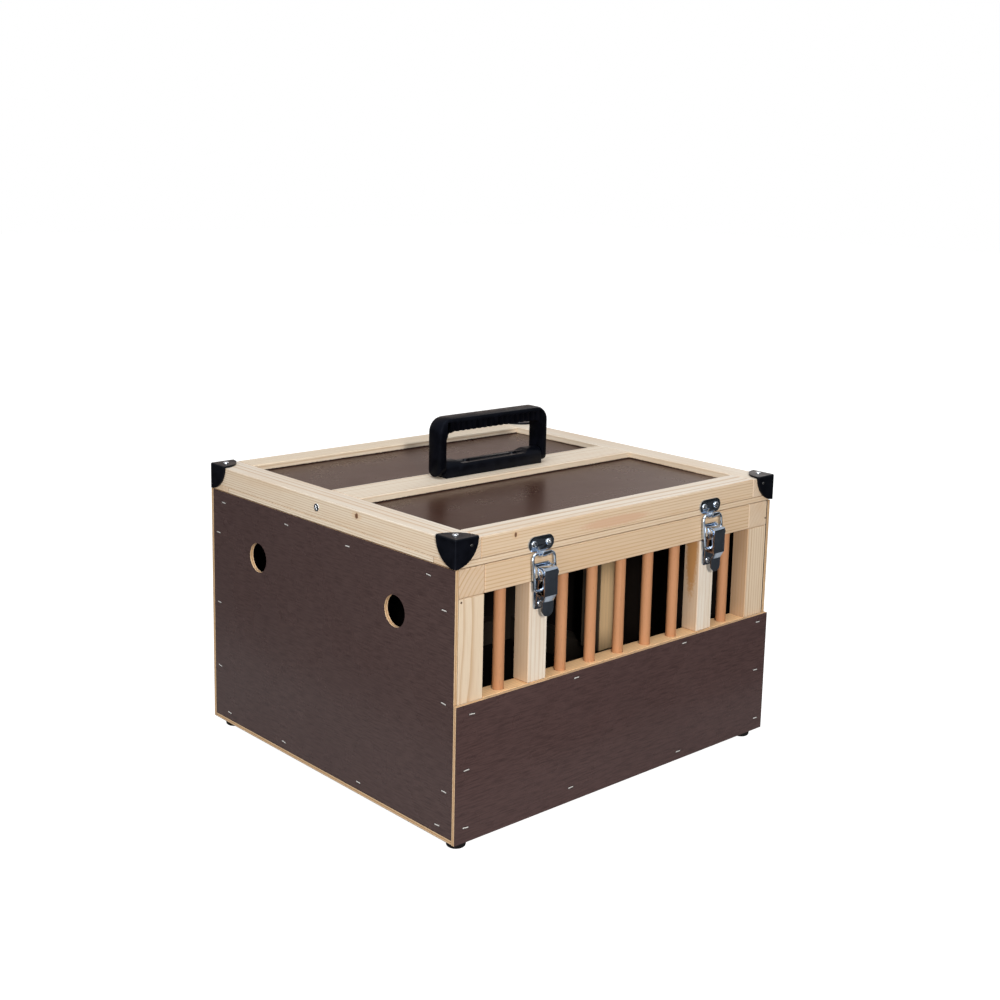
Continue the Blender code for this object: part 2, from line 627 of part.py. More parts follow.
def make_lever(name, x):
    """A channel folded from sheet, open to the back, with a rolled top and a stepped thumb tab below."""
    channel_top = latch_pin_height + lever_top_rise
    channel_bottom = channel_top - lever_channel_length
    flange_back = lever_front_reach - lever_flange_depth
    corner = (lever_front_reach - lever_corner_radius, channel_top - lever_corner_radius)
    shell = [(flange_back, channel_bottom), (lever_front_reach, channel_bottom)]
    shell += arc(corner, lever_corner_radius, 0, 90, 6)
    shell += [(flange_back, channel_top)]
    lever = add_piece(name, side_cut(shell, x - lever_half, x + lever_half),
                      latch_point(x, latch_pin_reach, latch_pin_height), zinc)
    hollow_front = lever_front_reach - latch_sheet
    hollow_back = flange_back - latch_sheet
    hollow = [(hollow_back, channel_bottom - latch_sheet), (hollow_front, channel_bottom - latch_sheet)]
    hollow += arc(corner, lever_corner_radius - latch_sheet, 0, 90, 6)
    hollow += [(hollow_back, channel_top - latch_sheet)]
    inner_half = lever_half - latch_sheet
    hollow_solid = side_cut(hollow, x - inner_half, x + inner_half)
    shape_with(lever, make_tool(name + " hollow", hollow_solid), "DIFFERENCE")
    tab_front = lever_front_reach - lever_step
    tab_back = tab_front - latch_sheet
    step_bottom = channel_bottom - lever_step_length
    tab_bottom = step_bottom - lever_tab_length
    tab_top = channel_bottom + latch_sheet
    tab = [(lever_front_reach, tab_top), (lever_front_reach, channel_bottom), (tab_front, step_bottom),
           (tab_front, tab_bottom), (tab_back, tab_bottom), (tab_back, step_bottom),
           (hollow_front, channel_bottom), (hollow_front, tab_top)]
    tab_solid = side_cut(tab, x - lever_tab_width / 2, x + lever_tab_width / 2)
    tip_z = floor_bottom + tab_bottom
    tip_corners = [edge for edge in tab_solid.edges
                   if all(abs(end.co.z - tip_z) < fit_gap for end in edge.verts)
                   and abs(edge.verts[0].co.x - edge.verts[1].co.x) < fit_gap]
    bmesh.ops.bevel(tab_solid, geom=tip_corners, offset=lever_tab_round, segments=6,
                    profile=0.5, affect="EDGES")
    shape_with(lever, make_tool(name + " tab", tab_solid), "UNION")
    holes = []
    for reach, height, diameter in ((latch_pin_reach, latch_pin_height, latch_pin_diameter),
                                    (bail_pin_reach, bail_pin_height, bail_wire)):
        holes.append(rod_solid(latch_point(x, reach, height), diameter / 2 + fit_gap,
                               2 * lever_width, "X", 20))
    shape_with(lever, make_tool(name + " holes", joined(holes)), "DIFFERENCE")
    return lever


def make_bail(name, x, lever):
    """A wire loop: both ends turn in through the lever's flanges, and its bar lies in the hook."""
    leg = Vector((-bail_bar_inset, bail_bar_rise))
    slope = leg.normalized()
    side = bail_span / 2
    right_side = [(lever_half - bail_end_bite, 0.0)]
    right_side += arc((side - bail_end_radius, bail_end_radius), bail_end_radius, -90, 0, 6)
    right_side += arc((side - bail_bend_radius, leg.length - bail_bend_radius), bail_bend_radius, 0, 90, 8)
    loop = right_side + [(-across, along) for across, along in reversed(right_side)]
    points = [latch_point(x + across, bail_pin_reach + along * slope.x, bail_pin_height + along * slope.y)
              for across, along in loop]
    add_piece(name, wire_solid(points, bail_wire),
              latch_point(x, bail_pin_reach, bail_pin_height), zinc, lever)


def make_catch(name, x):
    """A round-ended plate on the lid with a hook for the bail's bar."""
    catch_middle = bail_bar_height + catch_rise
    end_radius = catch_height / 2
    right_end = arc((catch_width / 2 - end_radius, catch_middle), end_radius, -90, 90, 12)
    plate_outline = right_end + [(-a, b) for a, b in reversed(right_end)]
    catch = add_piece(name, front_cut(plate_outline, x, plate_back, plate_front),
                      latch_point(x, plate_back, catch_middle), zinc, lid_axis)
    hook_reach = plate_front + hook_inner_radius
    hook_height = hook_trough + hook_inner_radius
    hook_middle = (hook_reach, hook_height)
    lip_middle = (hook_reach + hook_inner_radius + latch_sheet / 2, hook_height + hook_lip)
    hook = [(plate_back, catch_middle)]
    hook += arc(hook_middle, hook_inner_radius + latch_sheet, 180, 360, 12)
    hook += arc(lip_middle, latch_sheet / 2, 0, 180, 4)
    hook += arc(hook_middle, hook_inner_radius, 360, 180, 10)
    hook += [(plate_front, catch_middle)]
    hook_solid = side_cut(hook, x - hook_width / 2, x + hook_width / 2)
    shape_with(catch, make_tool(name + " hook", hook_solid), "UNION")
    holes = []
    for sign in (-1, 1):
        hole_middle = latch_point(x + sign * catch_hole_spacing / 2, plate_back, catch_middle)
        holes.append(rod_solid(hole_middle, latch_screw_hole / 2, 4 * latch_sheet, "Y", 20))
    shape_with(catch, make_tool(name + " screw holes", joined(holes)), "DIFFERENCE")


# Toggle latches: one over each mullion
for side, sign in (("left", -1), ("right", 1)):
    latch_x = sign * mullion_spacing / 2
    make_latch_base(side + "_latch_base", latch_x)
    latch_lever = make_lever(side + "_latch_lever", latch_x)
    make_bail(side + "_latch_bail", latch_x, latch_lever)
    make_catch(side + "_latch_catch", latch_x)

# Butt hinges: two leaves with interlocked knuckles, both let into the wood
knuckle_pitch = hinge_length / hinge_knuckles
leaf_edge = hinge_axis.y - hinge_knuckle_radius - fit_gap
leaf_y = (hinge_axis.y - hinge_leaf_reach, leaf_edge)


def make_leaf(name, x, up, own_knuckles, parent):
    """One leaf above (up = 1) or below (up = -1) the parting plane, with its own knuckles."""
    near_face = hinge_axis.z + up * hinge_leaf_gap / 2
    leaf_z = sorted((near_face, near_face + up * hinge_leaf))
    leaf = add_piece(name, box_solid((x - hinge_length / 2, x + hinge_length / 2), leaf_y, leaf_z),
                     (x, hinge_axis.y, hinge_axis.z), zinc, parent)
    fingers = []
    knuckles = []
    for number in own_knuckles:
        knuckle_x = x + (number - (hinge_knuckles - 1) / 2) * knuckle_pitch
        knuckle_half = (knuckle_pitch - fit_gap) / 2
        finger_x = (knuckle_x - knuckle_half, knuckle_x + knuckle_half)
        fingers.append(box_solid(finger_x, (leaf_edge - hinge_leaf, hinge_axis.y), leaf_z))
        knuckles.append(rod_solid((knuckle_x, hinge_axis.y, hinge_axis.z), hinge_knuckle_radius,
                                  2 * knuckle_half, "X", 16))
    shape_with(leaf, make_tool(name + " fingers", joined(fingers)), "UNION")
    shape_with(leaf, make_tool(name + " knuckles", joined(knuckles)), "UNION")
    holes = []
    for number in (-1, 0, 1):
        hole_middle = (x + number * hinge_hole_spacing, (leaf_y[0] + leaf_y[1]) / 2, hinge_axis.z)
        holes.append(rod_solid(hole_middle, hinge_hole / 2, 6 * hinge_leaf, "Z", 16))
    shape_with(leaf, make_tool(name + " screw holes", joined(holes)), "DIFFERENCE")
    return leaf


for side, sign in (("left", -1), ("right", 1)):
    hinge_x = sign * hinge_spacing / 2
    hinge_middle = (hinge_x, hinge_axis.y, hinge_axis.z)
    box_leaf = make_leaf(side + "_hinge_box_leaf", hinge_x, -1, range(0, hinge_knuckles, 2), None)
    hinge_pin = rod_solid(hinge_middle, hinge_pin_radius, hinge_length - fit_gap, "X", 16)
    shape_with(box_leaf, make_tool(side + " hinge pin", hinge_pin), "UNION")
    lid_leaf = make_leaf(side + "_hinge_lid_leaf", hinge_x, 1, range(1, hinge_knuckles, 2), lid_axis)
    hinge_bore = rod_solid(hinge_middle, hinge_pin_radius + fit_gap, 2 * hinge_length, "X", 16)
    shape_with(lid_leaf, make_tool(side + " hinge bore", hinge_bore), "DIFFERENCE")
    recess_x = (hinge_x - hinge_length / 2 - fit_gap, hinge_x + hinge_length / 2 + fit_gap)
    recess_y = (leaf_y[0] - fit_gap, hinge_axis.y)
    recess_depth = hinge_leaf_gap / 2 + hinge_leaf + fit_gap
    recess_z = (hinge_axis.z - recess_depth, hinge_axis.z + recess_depth)
    recess_tool = make_tool(side + " hinge recess", box_solid(recess_x, recess_y, recess_z))
    for let_in in (cross_rails["back"], back_panel, slat_frame):
        shape_with(let_in, recess_tool, "DIFFERENCE")

# Finish: apply the modelling steps and shade round faces smooth
depsgraph = bpy.context.evaluated_depsgraph_get()
finished = [bpy.data.meshes.new_from_object(piece.evaluated_get(depsgraph)) for piece in pieces]
for piece, mesh in zip(pieces, finished):
    mesh.name = piece.name
    mesh.shade_smooth()
    mesh.set_sharp_from_angle(angle=radians(32))
    piece.modifiers.clear()
    piece.data = mesh
for tool in tools:
    bpy.data.objects.remove(tool, do_unlink=True)
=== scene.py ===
from math import radians
from random import Random

import bpy
from mathutils import Euler, Matrix, Vector


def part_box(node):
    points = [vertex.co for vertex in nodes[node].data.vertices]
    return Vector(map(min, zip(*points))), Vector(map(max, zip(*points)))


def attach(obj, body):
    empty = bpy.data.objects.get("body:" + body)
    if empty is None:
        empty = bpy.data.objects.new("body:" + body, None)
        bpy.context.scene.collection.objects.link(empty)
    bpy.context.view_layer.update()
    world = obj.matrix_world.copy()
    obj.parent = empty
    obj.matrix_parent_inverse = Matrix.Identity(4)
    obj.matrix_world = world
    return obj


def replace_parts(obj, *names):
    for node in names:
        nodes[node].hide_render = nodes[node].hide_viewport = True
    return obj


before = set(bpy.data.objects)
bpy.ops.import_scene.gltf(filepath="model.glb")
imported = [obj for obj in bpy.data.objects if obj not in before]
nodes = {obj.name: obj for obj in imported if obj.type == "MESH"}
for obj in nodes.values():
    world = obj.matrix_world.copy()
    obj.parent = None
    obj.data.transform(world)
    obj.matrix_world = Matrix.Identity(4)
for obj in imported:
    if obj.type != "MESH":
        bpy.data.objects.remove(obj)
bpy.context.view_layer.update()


# The studio: a wide pale floor in a white surround, with soft lamps overhead, at the left, at the back and
# beside the camera. Dark cards and a warm screen show in reflections alone, so that bright metal and satin
# plastic have something to mirror. The camera is off the front left corner.
mm = 0.001
floor_side = 16.0
floor_white = (0.36, 0.36, 0.36, 1.0)
floor_roughness = 0.9
floor_lift = 0.95
floor_mirror_share = 0.12
surround_light = 0.14
surround_gloss = 0.55
surround_blue = (0.93, 0.96, 1.0, 1.0)
surround_white = (1.0, 1.0, 1.0, 1.0)
card_grey = (0.010, 0.011, 0.013, 1.0)
card_roughness = 0.95
screen_warm = (0.63, 0.53, 0.485, 1.0)
screen_side = 6.0
screen_place = (2.4, 2.6, 3.0)
screen_turn = -43
lamp_target = Vector((0, 0, 0.15))
camera_place = Vector((-919.4, -1018.4, 561.5)) * mm
camera_heading = 42.883
camera_tilt = 10.51
camera_roll = 1.367
camera_lens = 52.44
camera_sensor = 36.0
camera_shift = (-0.0157, -0.0732)


def add_node(tree, kind, feeds, **settings):
    """A shader node. Feeds gives a socket, by name or number, a value or another node's output."""
    node = tree.nodes.new(kind)
    for name, value in settings.items():
        setattr(node, name, value)
    for socket, feed in feeds.items():
        if isinstance(feed, bpy.types.NodeSocket):
            tree.links.new(feed, node.inputs[socket])
        else:
            node.inputs[socket].default_value = feed
    return node


def math_step(tree, operation, first, second=0.0):
    """One step of arithmetic on two numbers."""
    return add_node(tree, "ShaderNodeMath", {0: first, 1: second}, operation=operation).outputs[0]


def new_finish(name):
    """A material with its node tree and its Principled shader."""
    finish = bpy.data.materials.new(name)
    finish.use_nodes = True
    return finish, finish.node_tree, finish.node_tree.nodes["Principled BSDF"]


def deselect_all():
    """Leave nothing selected, so that the next operator acts on its own piece alone."""
    bpy.ops.object.select_all(action="DESELECT")


def show_in_reflections_only(piece):
    """Hide a card or screen from the camera, the soft light and the shadows."""
    piece.visible_camera = False
    piece.visible_diffuse = False
    piece.visible_shadow = False


surround = bpy.data.worlds.new("white surround")
surround.use_nodes = True
bpy.context.scene.world = surround
surround_tree = surround.node_tree
surround_rays = surround_tree.nodes.new("ShaderNodeLightPath").outputs
surround_gloss_step = math_step(surround_tree, "MULTIPLY", surround_rays["Is Glossy Ray"],
                                surround_gloss - surround_light)
surround_view_step = math_step(surround_tree, "MULTIPLY", surround_rays["Is Camera Ray"],
                               1.0 - surround_light)
surround_steps = math_step(surround_tree, "ADD", surround_gloss_step, surround_view_step)
surround_level = math_step(surround_tree, "ADD", surround_steps, surround_light)
surround_tint = add_node(surround_tree, "ShaderNodeMix",
                         {0: surround_rays["Is Camera Ray"], 6: surround_blue, 7: surround_white},
                         data_type="RGBA").outputs[2]
surround_shader = surround_tree.nodes["Background"]
surround_tree.links.new(surround_tint, surround_shader.inputs["Color"])
surround_tree.links.new(surround_level, surround_shader.inputs["Strength"])

floor_finish, floor_tree, floor_shader = new_finish("pale studio floor")
floor_shader.inputs["Base Color"].default_value = floor_white
floor_shader.inputs["Roughness"].default_value = floor_roughness
floor_rays = floor_tree.nodes.new("ShaderNodeLightPath").outputs
floor_mirrored = math_step(floor_tree, "MULTIPLY", floor_rays["Is Glossy Ray"], floor_mirror_share)
floor_seen = math_step(floor_tree, "MAXIMUM", floor_rays["Is Camera Ray"], floor_mirrored)
floor_glow = add_node(floor_tree, "ShaderNodeEmission",
                      {"Strength": math_step(floor_tree, "MULTIPLY", floor_seen, floor_lift)})
floor_sum = add_node(floor_tree, "ShaderNodeAddShader",
                     {0: floor_shader.outputs["BSDF"], 1: floor_glow.outputs["Emission"]})
floor_tree.links.new(floor_sum.outputs[0], floor_tree.nodes["Material Output"].inputs["Surface"])
deselect_all()
bpy.ops.mesh.primitive_plane_add(size=floor_side, location=(0, 0, 0))
studio_floor = bpy.context.object
studio_floor.name = "studio_floor"
studio_floor.data.materials.append(floor_finish)

card_finish, _, card_shader = new_finish("dark studio card")
card_shader.inputs["Base Color"].default_value = card_grey
card_shader.inputs["Roughness"].default_value = card_roughness
for card_name, card_place, card_tilt, card_turn, card_size in (
        ("front_floor_card", (0.75, -1.355, 0.002), 0, 0, (2.6, 2.17, 1.0)),
        ("front_wall_card", (1.45, -1.70, 0.28), 90, 41, (3.0, 3.0, 0.56)),
        ("left_floor_card", (-1.40, 0.75, 0.002), 0, 0, (2.1, 2.6, 1.0)),
        ("left_wall_card", (-1.70, 1.45, 0.28), 90, 49, (3.0, 3.0, 0.56))):
    deselect_all()
    bpy.ops.mesh.primitive_plane_add(size=1.0, location=card_place,
                                     rotation=(radians(card_tilt), 0, radians(card_turn)))
    card = bpy.context.object
    card.name = card_name
    bpy.ops.transform.resize(value=card_size, orient_type="GLOBAL")
    card.data.materials.append(card_finish)
    show_in_reflections_only(card)

screen_finish, screen_tree, _ = new_finish("warm studio screen")
screen_glow = add_node(screen_tree, "ShaderNodeEmission", {"Color": screen_warm})
screen_tree.links.new(screen_glow.outputs[0], screen_tree.nodes["Material Output"].inputs["Surface"])
deselect_all()
bpy.ops.mesh.primitive_plane_add(size=screen_side, location=screen_place,
                                 rotation=(radians(90), 0, radians(screen_turn)))
screen = bpy.context.object
screen.name = "back_screen"
screen.data.materials.append(screen_finish)
show_in_reflections_only(screen)

for lamp_name, lamp_place, lamp_width, lamp_height, lamp_power, lamp_colour in (
        ("overhead_lamp", (-0.5, -0.4, 2.7), 2.0, 2.0, 43.0, (0.90, 0.96, 1.0)),
        ("left_lamp", (-2.7, -0.8, 1.0), 1.6, 1.6, 22.0, (1.0, 0.98, 0.95)),
        ("camera_lamp", (-1.40, -2.32, 1.12), 0.18, 0.5, 54.0, (1.0, 0.97, 0.92)),
        ("back_lamp", (2.6, 1.2, 1.8), 1.6, 1.6, 14.0, (1.0, 0.98, 0.95))):
    lamp_data = bpy.data.lights.new(lamp_name, "AREA")
    lamp_data.shape = "ELLIPSE"
    lamp_data.size = lamp_width
    lamp_data.size_y = lamp_height
    lamp_data.energy = lamp_power
    lamp_data.color = lamp_colour
    lamp = bpy.data.objects.new(lamp_name, lamp_data)
    lamp.location = lamp_place
    lamp.rotation_euler = (lamp_target - lamp.location).to_track_quat("-Z", "Y").to_euler()
    bpy.context.scene.collection.objects.link(lamp)

camera_data = bpy.data.cameras.new("camera")
camera_data.sensor_width = camera_sensor
camera_data.lens = camera_lens
camera_data.shift_x, camera_data.shift_y = camera_shift
camera = bpy.data.objects.new("camera", camera_data)
camera.matrix_world = (Matrix.Translation(camera_place)
                       @ Matrix.Rotation(radians(-camera_heading), 4, "Z")
                       @ Matrix.Rotation(radians(90 - camera_tilt), 4, "X")
                       @ Matrix.Rotation(radians(camera_roll), 4, "Z"))
bpy.context.scene.collection.objects.link(camera)
bpy.context.scene.camera = camera
bpy.context.scene.view_settings.view_transform = "Standard"


# The walls and floor: ply about 4 mm thick, faced with a dark brown, faintly streaked resin film and sawn to
# size, so that its edges show the bare veneers. The boards are stapled over the frame, and the sides are
# drilled for air.
film_brown = (0.086, 0.054, 0.051, 1.0)
film_dark = (0.054, 0.033, 0.032, 1.0)
# Painted light: the front panel's film is a copy of the walls' film, retoned for how the light falls on the
# front.
front_film_lit_brown = (0.088, 0.051, 0.049, 1.0)
front_film_lit_dark = (0.055, 0.032, 0.031, 1.0)
# Painted shade for the inside of the box: the inner face of the film is near black.
inside_painted_shade = (0.006, 0.0036, 0.003, 1.0)
veneer_tan = (0.58, 0.37, 0.20, 1.0)
veneer_pale = (0.72, 0.54, 0.36, 1.0)
core_brown = (0.36, 0.19, 0.09, 1.0)
film_share = 0.07
film_blur = 0.015
veneer_share = 0.36
veneer_blur = 0.03
veneer_fibre = 400.0
streak_across = 900.0
streak_along = 70.0
cloud_scale = 14.0
film_relief = 0.04 * mm
film_sheen = 0.16
film_smudge = 50 * mm
inside_roughness = 0.85
wall_clean = 0.24
wall_rubbed = 0.34
lit_wall_films = {"front_panel": (front_film_lit_brown, front_film_lit_dark)}
wall_axes = {"front_panel": (1, 0), "back_panel": (1, 0), "floor_panel": (2, 0),
             "left_side_panel": (0, 1), "right_side_panel": (0, 1)}


def new_group(name, inputs, outputs):
    """A shader group with named sockets, and its own input and output nodes."""
    group = bpy.data.node_groups.new(name, "ShaderNodeTree")
    for socket_name, kind, value in inputs:
        socket = group.interface.new_socket(socket_name, in_out="INPUT", socket_type=kind)
        if value is not None:
            socket.default_value = value
    for socket_name, kind in outputs:
        group.interface.new_socket(socket_name, in_out="OUTPUT", socket_type=kind)
    return group, group.nodes.new("NodeGroupInput").outputs, group.nodes.new("NodeGroupOutput").inputs


def place_group(tree, group, feeds):
    """The outputs of one use of a shared group in a material."""
    return add_node(tree, "ShaderNodeGroup", feeds, node_tree=group).outputs


def blend(tree, factor, first, second):
    """One colour going over to another."""
    return add_node(tree, "ShaderNodeMix", {0: factor, 6: first, 7: second}, data_type="RGBA").outputs[2]


def ranged(tree, value, low, high, to_low=0.0, to_high=1.0, smooth=False):
    """A number moved from one range to another, with its ends held."""
    kind = "SMOOTHSTEP" if smooth else "LINEAR"
    feeds = {"Value": value, "From Min": low, "From Max": high, "To Min": to_low, "To Max": to_high}
    return add_node(tree, "ShaderNodeMapRange", feeds, interpolation_type=kind).outputs["Result"]


def noise(tree, vector, scale, detail=2.0, roughness=0.5):
    """Cloudy values round one half."""
    feeds = {"Vector": vector, "Scale": scale, "Detail": detail, "Roughness": roughness}
    return add_node(tree, "ShaderNodeTexNoise", feeds).outputs[0]


def vector_step(tree, operation, first, second=(0.0, 0.0, 0.0)):
    """One step of arithmetic on two vectors."""
    return add_node(tree, "ShaderNodeVectorMath", {0: first, 1: second}, operation=operation).outputs


def stretched(tree, vector, scale):
    """A place with each axis on its own scale."""
    return vector_step(tree, "MULTIPLY", vector, scale)[0]


def part_along(tree, vector, axis):
    """The part of a vector along an axis."""
    return add_node(tree, "ShaderNodeSeparateXYZ", {0: vector}).outputs[axis]


def squarely_along(tree, coordinates, axis, limit):
    """1 on the faces that look either way along an axis, more squarely than a limit, and 0 on the rest."""
    squareness = math_step(tree, "ABSOLUTE", part_along(tree, coordinates.outputs["Normal"], axis))
    return math_step(tree, "GREATER_THAN", squareness, limit)


def looking(tree, coordinates, axis, sign):
    """1 on the faces that look up or down an axis, as the sign says, and 0 on the rest."""
    facing = math_step(tree, "MULTIPLY", part_along(tree, coordinates.outputs["Normal"], axis), sign)
    return math_step(tree, "GREATER_THAN", facing, 0.5)


def bumped(tree, shader, height, depth):
    """Small relief of a given depth on a shader."""
    bump = add_node(tree, "ShaderNodeBump", {"Height": height, "Distance": depth, "Strength": 1.0})
    tree.links.new(bump.outputs["Normal"], shader.inputs["Normal"])


smudge_group, smudge_in, smudge_out = new_group(
    "handling smudges", [("Vector", "NodeSocketVector", None), ("Clean", "NodeSocketFloat", 0.3),
                         ("Rubbed", "NodeSocketFloat", 0.45), ("Patch Size", "NodeSocketFloat", 0.03)],
    [("Roughness", "NodeSocketFloat"), ("Mask", "NodeSocketFloat")])
smudge_scale = math_step(smudge_group, "DIVIDE", 1.0, smudge_in["Patch Size"])
smudge_cloud = noise(smudge_group, smudge_in["Vector"], smudge_scale, 4.0, 0.6)
smudge_mask = ranged(smudge_group, smudge_cloud, 0.35, 0.7, smooth=True)
smudge_spread = math_step(smudge_group, "SUBTRACT", smudge_in["Rubbed"], smudge_in["Clean"])
smudge_rise = math_step(smudge_group, "MULTIPLY", smudge_mask, smudge_spread)
smudge_roughness = math_step(smudge_group, "ADD", smudge_in["Clean"], smudge_rise)
smudge_group.links.new(smudge_roughness, smudge_out["Roughness"])
smudge_group.links.new(smudge_mask, smudge_out["Mask"])


def film_faced_ply(node_name, across, along, light, dark, clean, rubbed):
    """Film in two tones on a board, painted shade near black on its inner face, and veneers on its edges.

    The axes run across the board and along its grain. Clean and rubbed film have their own roughness.
    """
    low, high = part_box(node_name)
    finish, tree, shader = new_finish(node_name + " film-faced ply")
    coordinates = tree.nodes.new("ShaderNodeTexCoord")
    place = coordinates.outputs["Object"]
    streak_scale = [streak_across, streak_across, streak_across]
    streak_scale[along] = streak_along
    streaks = noise(tree, stretched(tree, place, streak_scale), 1.0, 3.0, 0.6)
    clouds = noise(tree, place, cloud_scale)
    film = blend(tree, ranged(tree, streaks, 0.42, 0.68), light, dark)
    film = blend(tree, ranged(tree, clouds, 0.3, 0.7, 0.0, 0.2), film, dark)
    layer = ranged(tree, part_along(tree, place, across), low[across], high[across])
    from_middle = math_step(tree, "ABSOLUTE", math_step(tree, "SUBTRACT", layer, 0.5))
    fibre = noise(tree, place, veneer_fibre)
    veneer = blend(tree, fibre, veneer_tan, veneer_pale)
    core = blend(tree, fibre, core_brown, veneer_tan)
    veneer_start = 0.5 - veneer_share
    film_start = 0.5 - film_share
    in_veneer = ranged(tree, from_middle, veneer_start - veneer_blur, veneer_start + veneer_blur)
    in_film = ranged(tree, from_middle, film_start - film_blur, film_start + film_blur)
    edge = blend(tree, in_film, blend(tree, in_veneer, core, veneer), dark)
    on_face = squarely_along(tree, coordinates, across, 0.5)
    inward = -1 if low[across] + high[across] > 0 and node_name != "floor_panel" else 1
    inner_face = looking(tree, coordinates, across, inward)
    # Painted shade: the inner face is laid near black, for the dark inside of the box.
    film = blend(tree, inner_face, film, inside_painted_shade)
    tree.links.new(blend(tree, on_face, edge, film), shader.inputs["Base Color"])
    smudges = place_group(tree, smudge_group, {"Vector": place, "Clean": clean, "Rubbed": rubbed,
                                               "Patch Size": film_smudge})
    outer_face = math_step(tree, "SUBTRACT", on_face, inner_face)
    rough = add_node(tree, "ShaderNodeMix", {0: outer_face, 2: inside_roughness, 3: smudges["Roughness"]})
    tree.links.new(rough.outputs[0], shader.inputs["Roughness"])
    shader.inputs["Specular IOR Level"].default_value = film_sheen
    bumped(tree, shader, streaks, film_relief)
    return finish


for wall_name, (wall_across, wall_along) in wall_axes.items():
    wall_film = lit_wall_films.get(wall_name, (film_brown, film_dark))
    nodes[wall_name].material_slots[0].material = film_faced_ply(
        wall_name, wall_across, wall_along, *wall_film, wall_clean, wall_rubbed)


# The staples that hold the walls: flat galvanised wire, driven a little deep, so that each crown lies in a
# dent of crushed film, whose near black pad is also painted shade. They run round every board a little in
# from its edges.
# Each place is in millimetres, along the wall from its front or left end and up from the underside of the
# floor.
staple_crown = 5.8 * mm
staple_wire = 1.0 * mm
staple_rise = 0.2 * mm
dent_length = 8 * mm
dent_width = 2.6 * mm
dent_rise = 0.04 * mm
staple_round = 0.18 * mm
staple_turn = 6
dent_round = 0.032 * mm
dent_roughness = 0.8
dent_speckle = 900.0
staple_zinc = (0.86, 0.83, 0.80, 1.0)
# Painted shade: the dent's near black pad stands for the shade in the dent as well as the crushed film.
dent_shade_brown = (0.012, 0.006, 0.006, 1.0)
zinc_smudge = 6 * mm
zinc_duller = 0.82
side_wall_staples = [(346, 221), (240, 221), (147, 221), (37, 221), (356, 190), (356, 120), (356, 55),
                     (17, 196), (16, 118), (14, 43), (340, 11), (246, 11), (130, 11), (22, 11)]
front_wall_staples = [(17, 110), (136, 113), (277, 114), (386, 112), (12, 63), (12, 13), (386, 63),
                      (390, 12), (133, 13), (275, 8)]
back_wall_staples = [(18, 221), (130, 223), (268, 221), (384, 222), (11, 150), (12, 80), (389, 152),
                     (388, 78), (16, 12), (140, 10), (262, 12), (386, 11)]


def wanted_edges(piece, test):
    """In edit mode, select just the edges with both ends where the test wants them."""
    bpy.context.tool_settings.mesh_select_mode = (False, True, False)
    bpy.ops.object.mode_set(mode="EDIT")
    bpy.ops.mesh.select_all(action="DESELECT")
    bpy.ops.object.mode_set(mode="OBJECT")
    for edge in piece.data.edges:
        edge.select = all(test(piece.data.vertices[end].co) for end in edge.vertices)
    bpy.ops.object.mode_set(mode="EDIT")


def standing(direction, spot):
    """A place and turn that stands a piece modelled along +Z on a face that looks in a direction."""
    turn = Vector(direction).to_track_quat("Z", "Y").to_matrix().to_4x4()
    return Matrix.Translation(spot) @ turn


def set_copies(model, name, places, body):
    """Copies of one model at several places, as one piece with its own mesh, riding on a body."""
    parts = []
    for spot in places:
        part = bpy.data.objects.new(name, model.data.copy())
        part.data.transform(spot)
        bpy.context.scene.collection.objects.link(part)
        parts.append(part)
    deselect_all()
    for part in parts:
        part.select_set(True)
    bpy.context.view_layer.objects.active = parts[0]
    if len(parts) > 1:
        bpy.ops.object.join()
    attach(parts[0], body)
    return parts[0]


def handled(name, colour, worn, clean, rubbed, patch):
    """A finish that hands have rubbed in cloudy patches, with its tree, its shader and its place."""
    finish, tree, shader = new_finish(name)
    place = tree.nodes.new("ShaderNodeTexCoord").outputs["Object"]
    smudges = place_group(tree, smudge_group, {"Vector": place, "Clean": clean, "Rubbed": rubbed,
                                               "Patch Size": patch})
    tree.links.new(blend(tree, smudges["Mask"], colour, worn), shader.inputs["Base Color"])
    tree.links.new(smudges["Roughness"], shader.inputs["Roughness"])
    return finish, tree, shader, place


def galvanised(name, colour, clean, rubbed, metallic=1.0):
    """Zinc-plated steel with faint cloudy handling marks."""
    duller = [channel * zinc_duller for channel in colour[:3]] + [1.0]
    finish, _, shader, _ = handled(name, colour, duller, clean, rubbed, zinc_smudge)
    shader.inputs["Metallic"].default_value = metallic
    return finish


def speckled(name, first, second, scale, roughness):
    """A finish with two colours in fine speckles."""
    finish, tree, shader = new_finish(name)
    place = tree.nodes.new("ShaderNodeTexCoord").outputs["Object"]
    tree.links.new(blend(tree, noise(tree, place, scale), first, second), shader.inputs["Base Color"])
    shader.inputs["Roughness"].default_value = roughness
    return finish


staple_finish = galvanised("staple wire", staple_zinc, clean=0.4, rubbed=0.65, metallic=0.4)
dent_shade_finish = speckled("crushed film and painted shade", dent_shade_brown, film_dark, dent_speckle, dent_roughness)

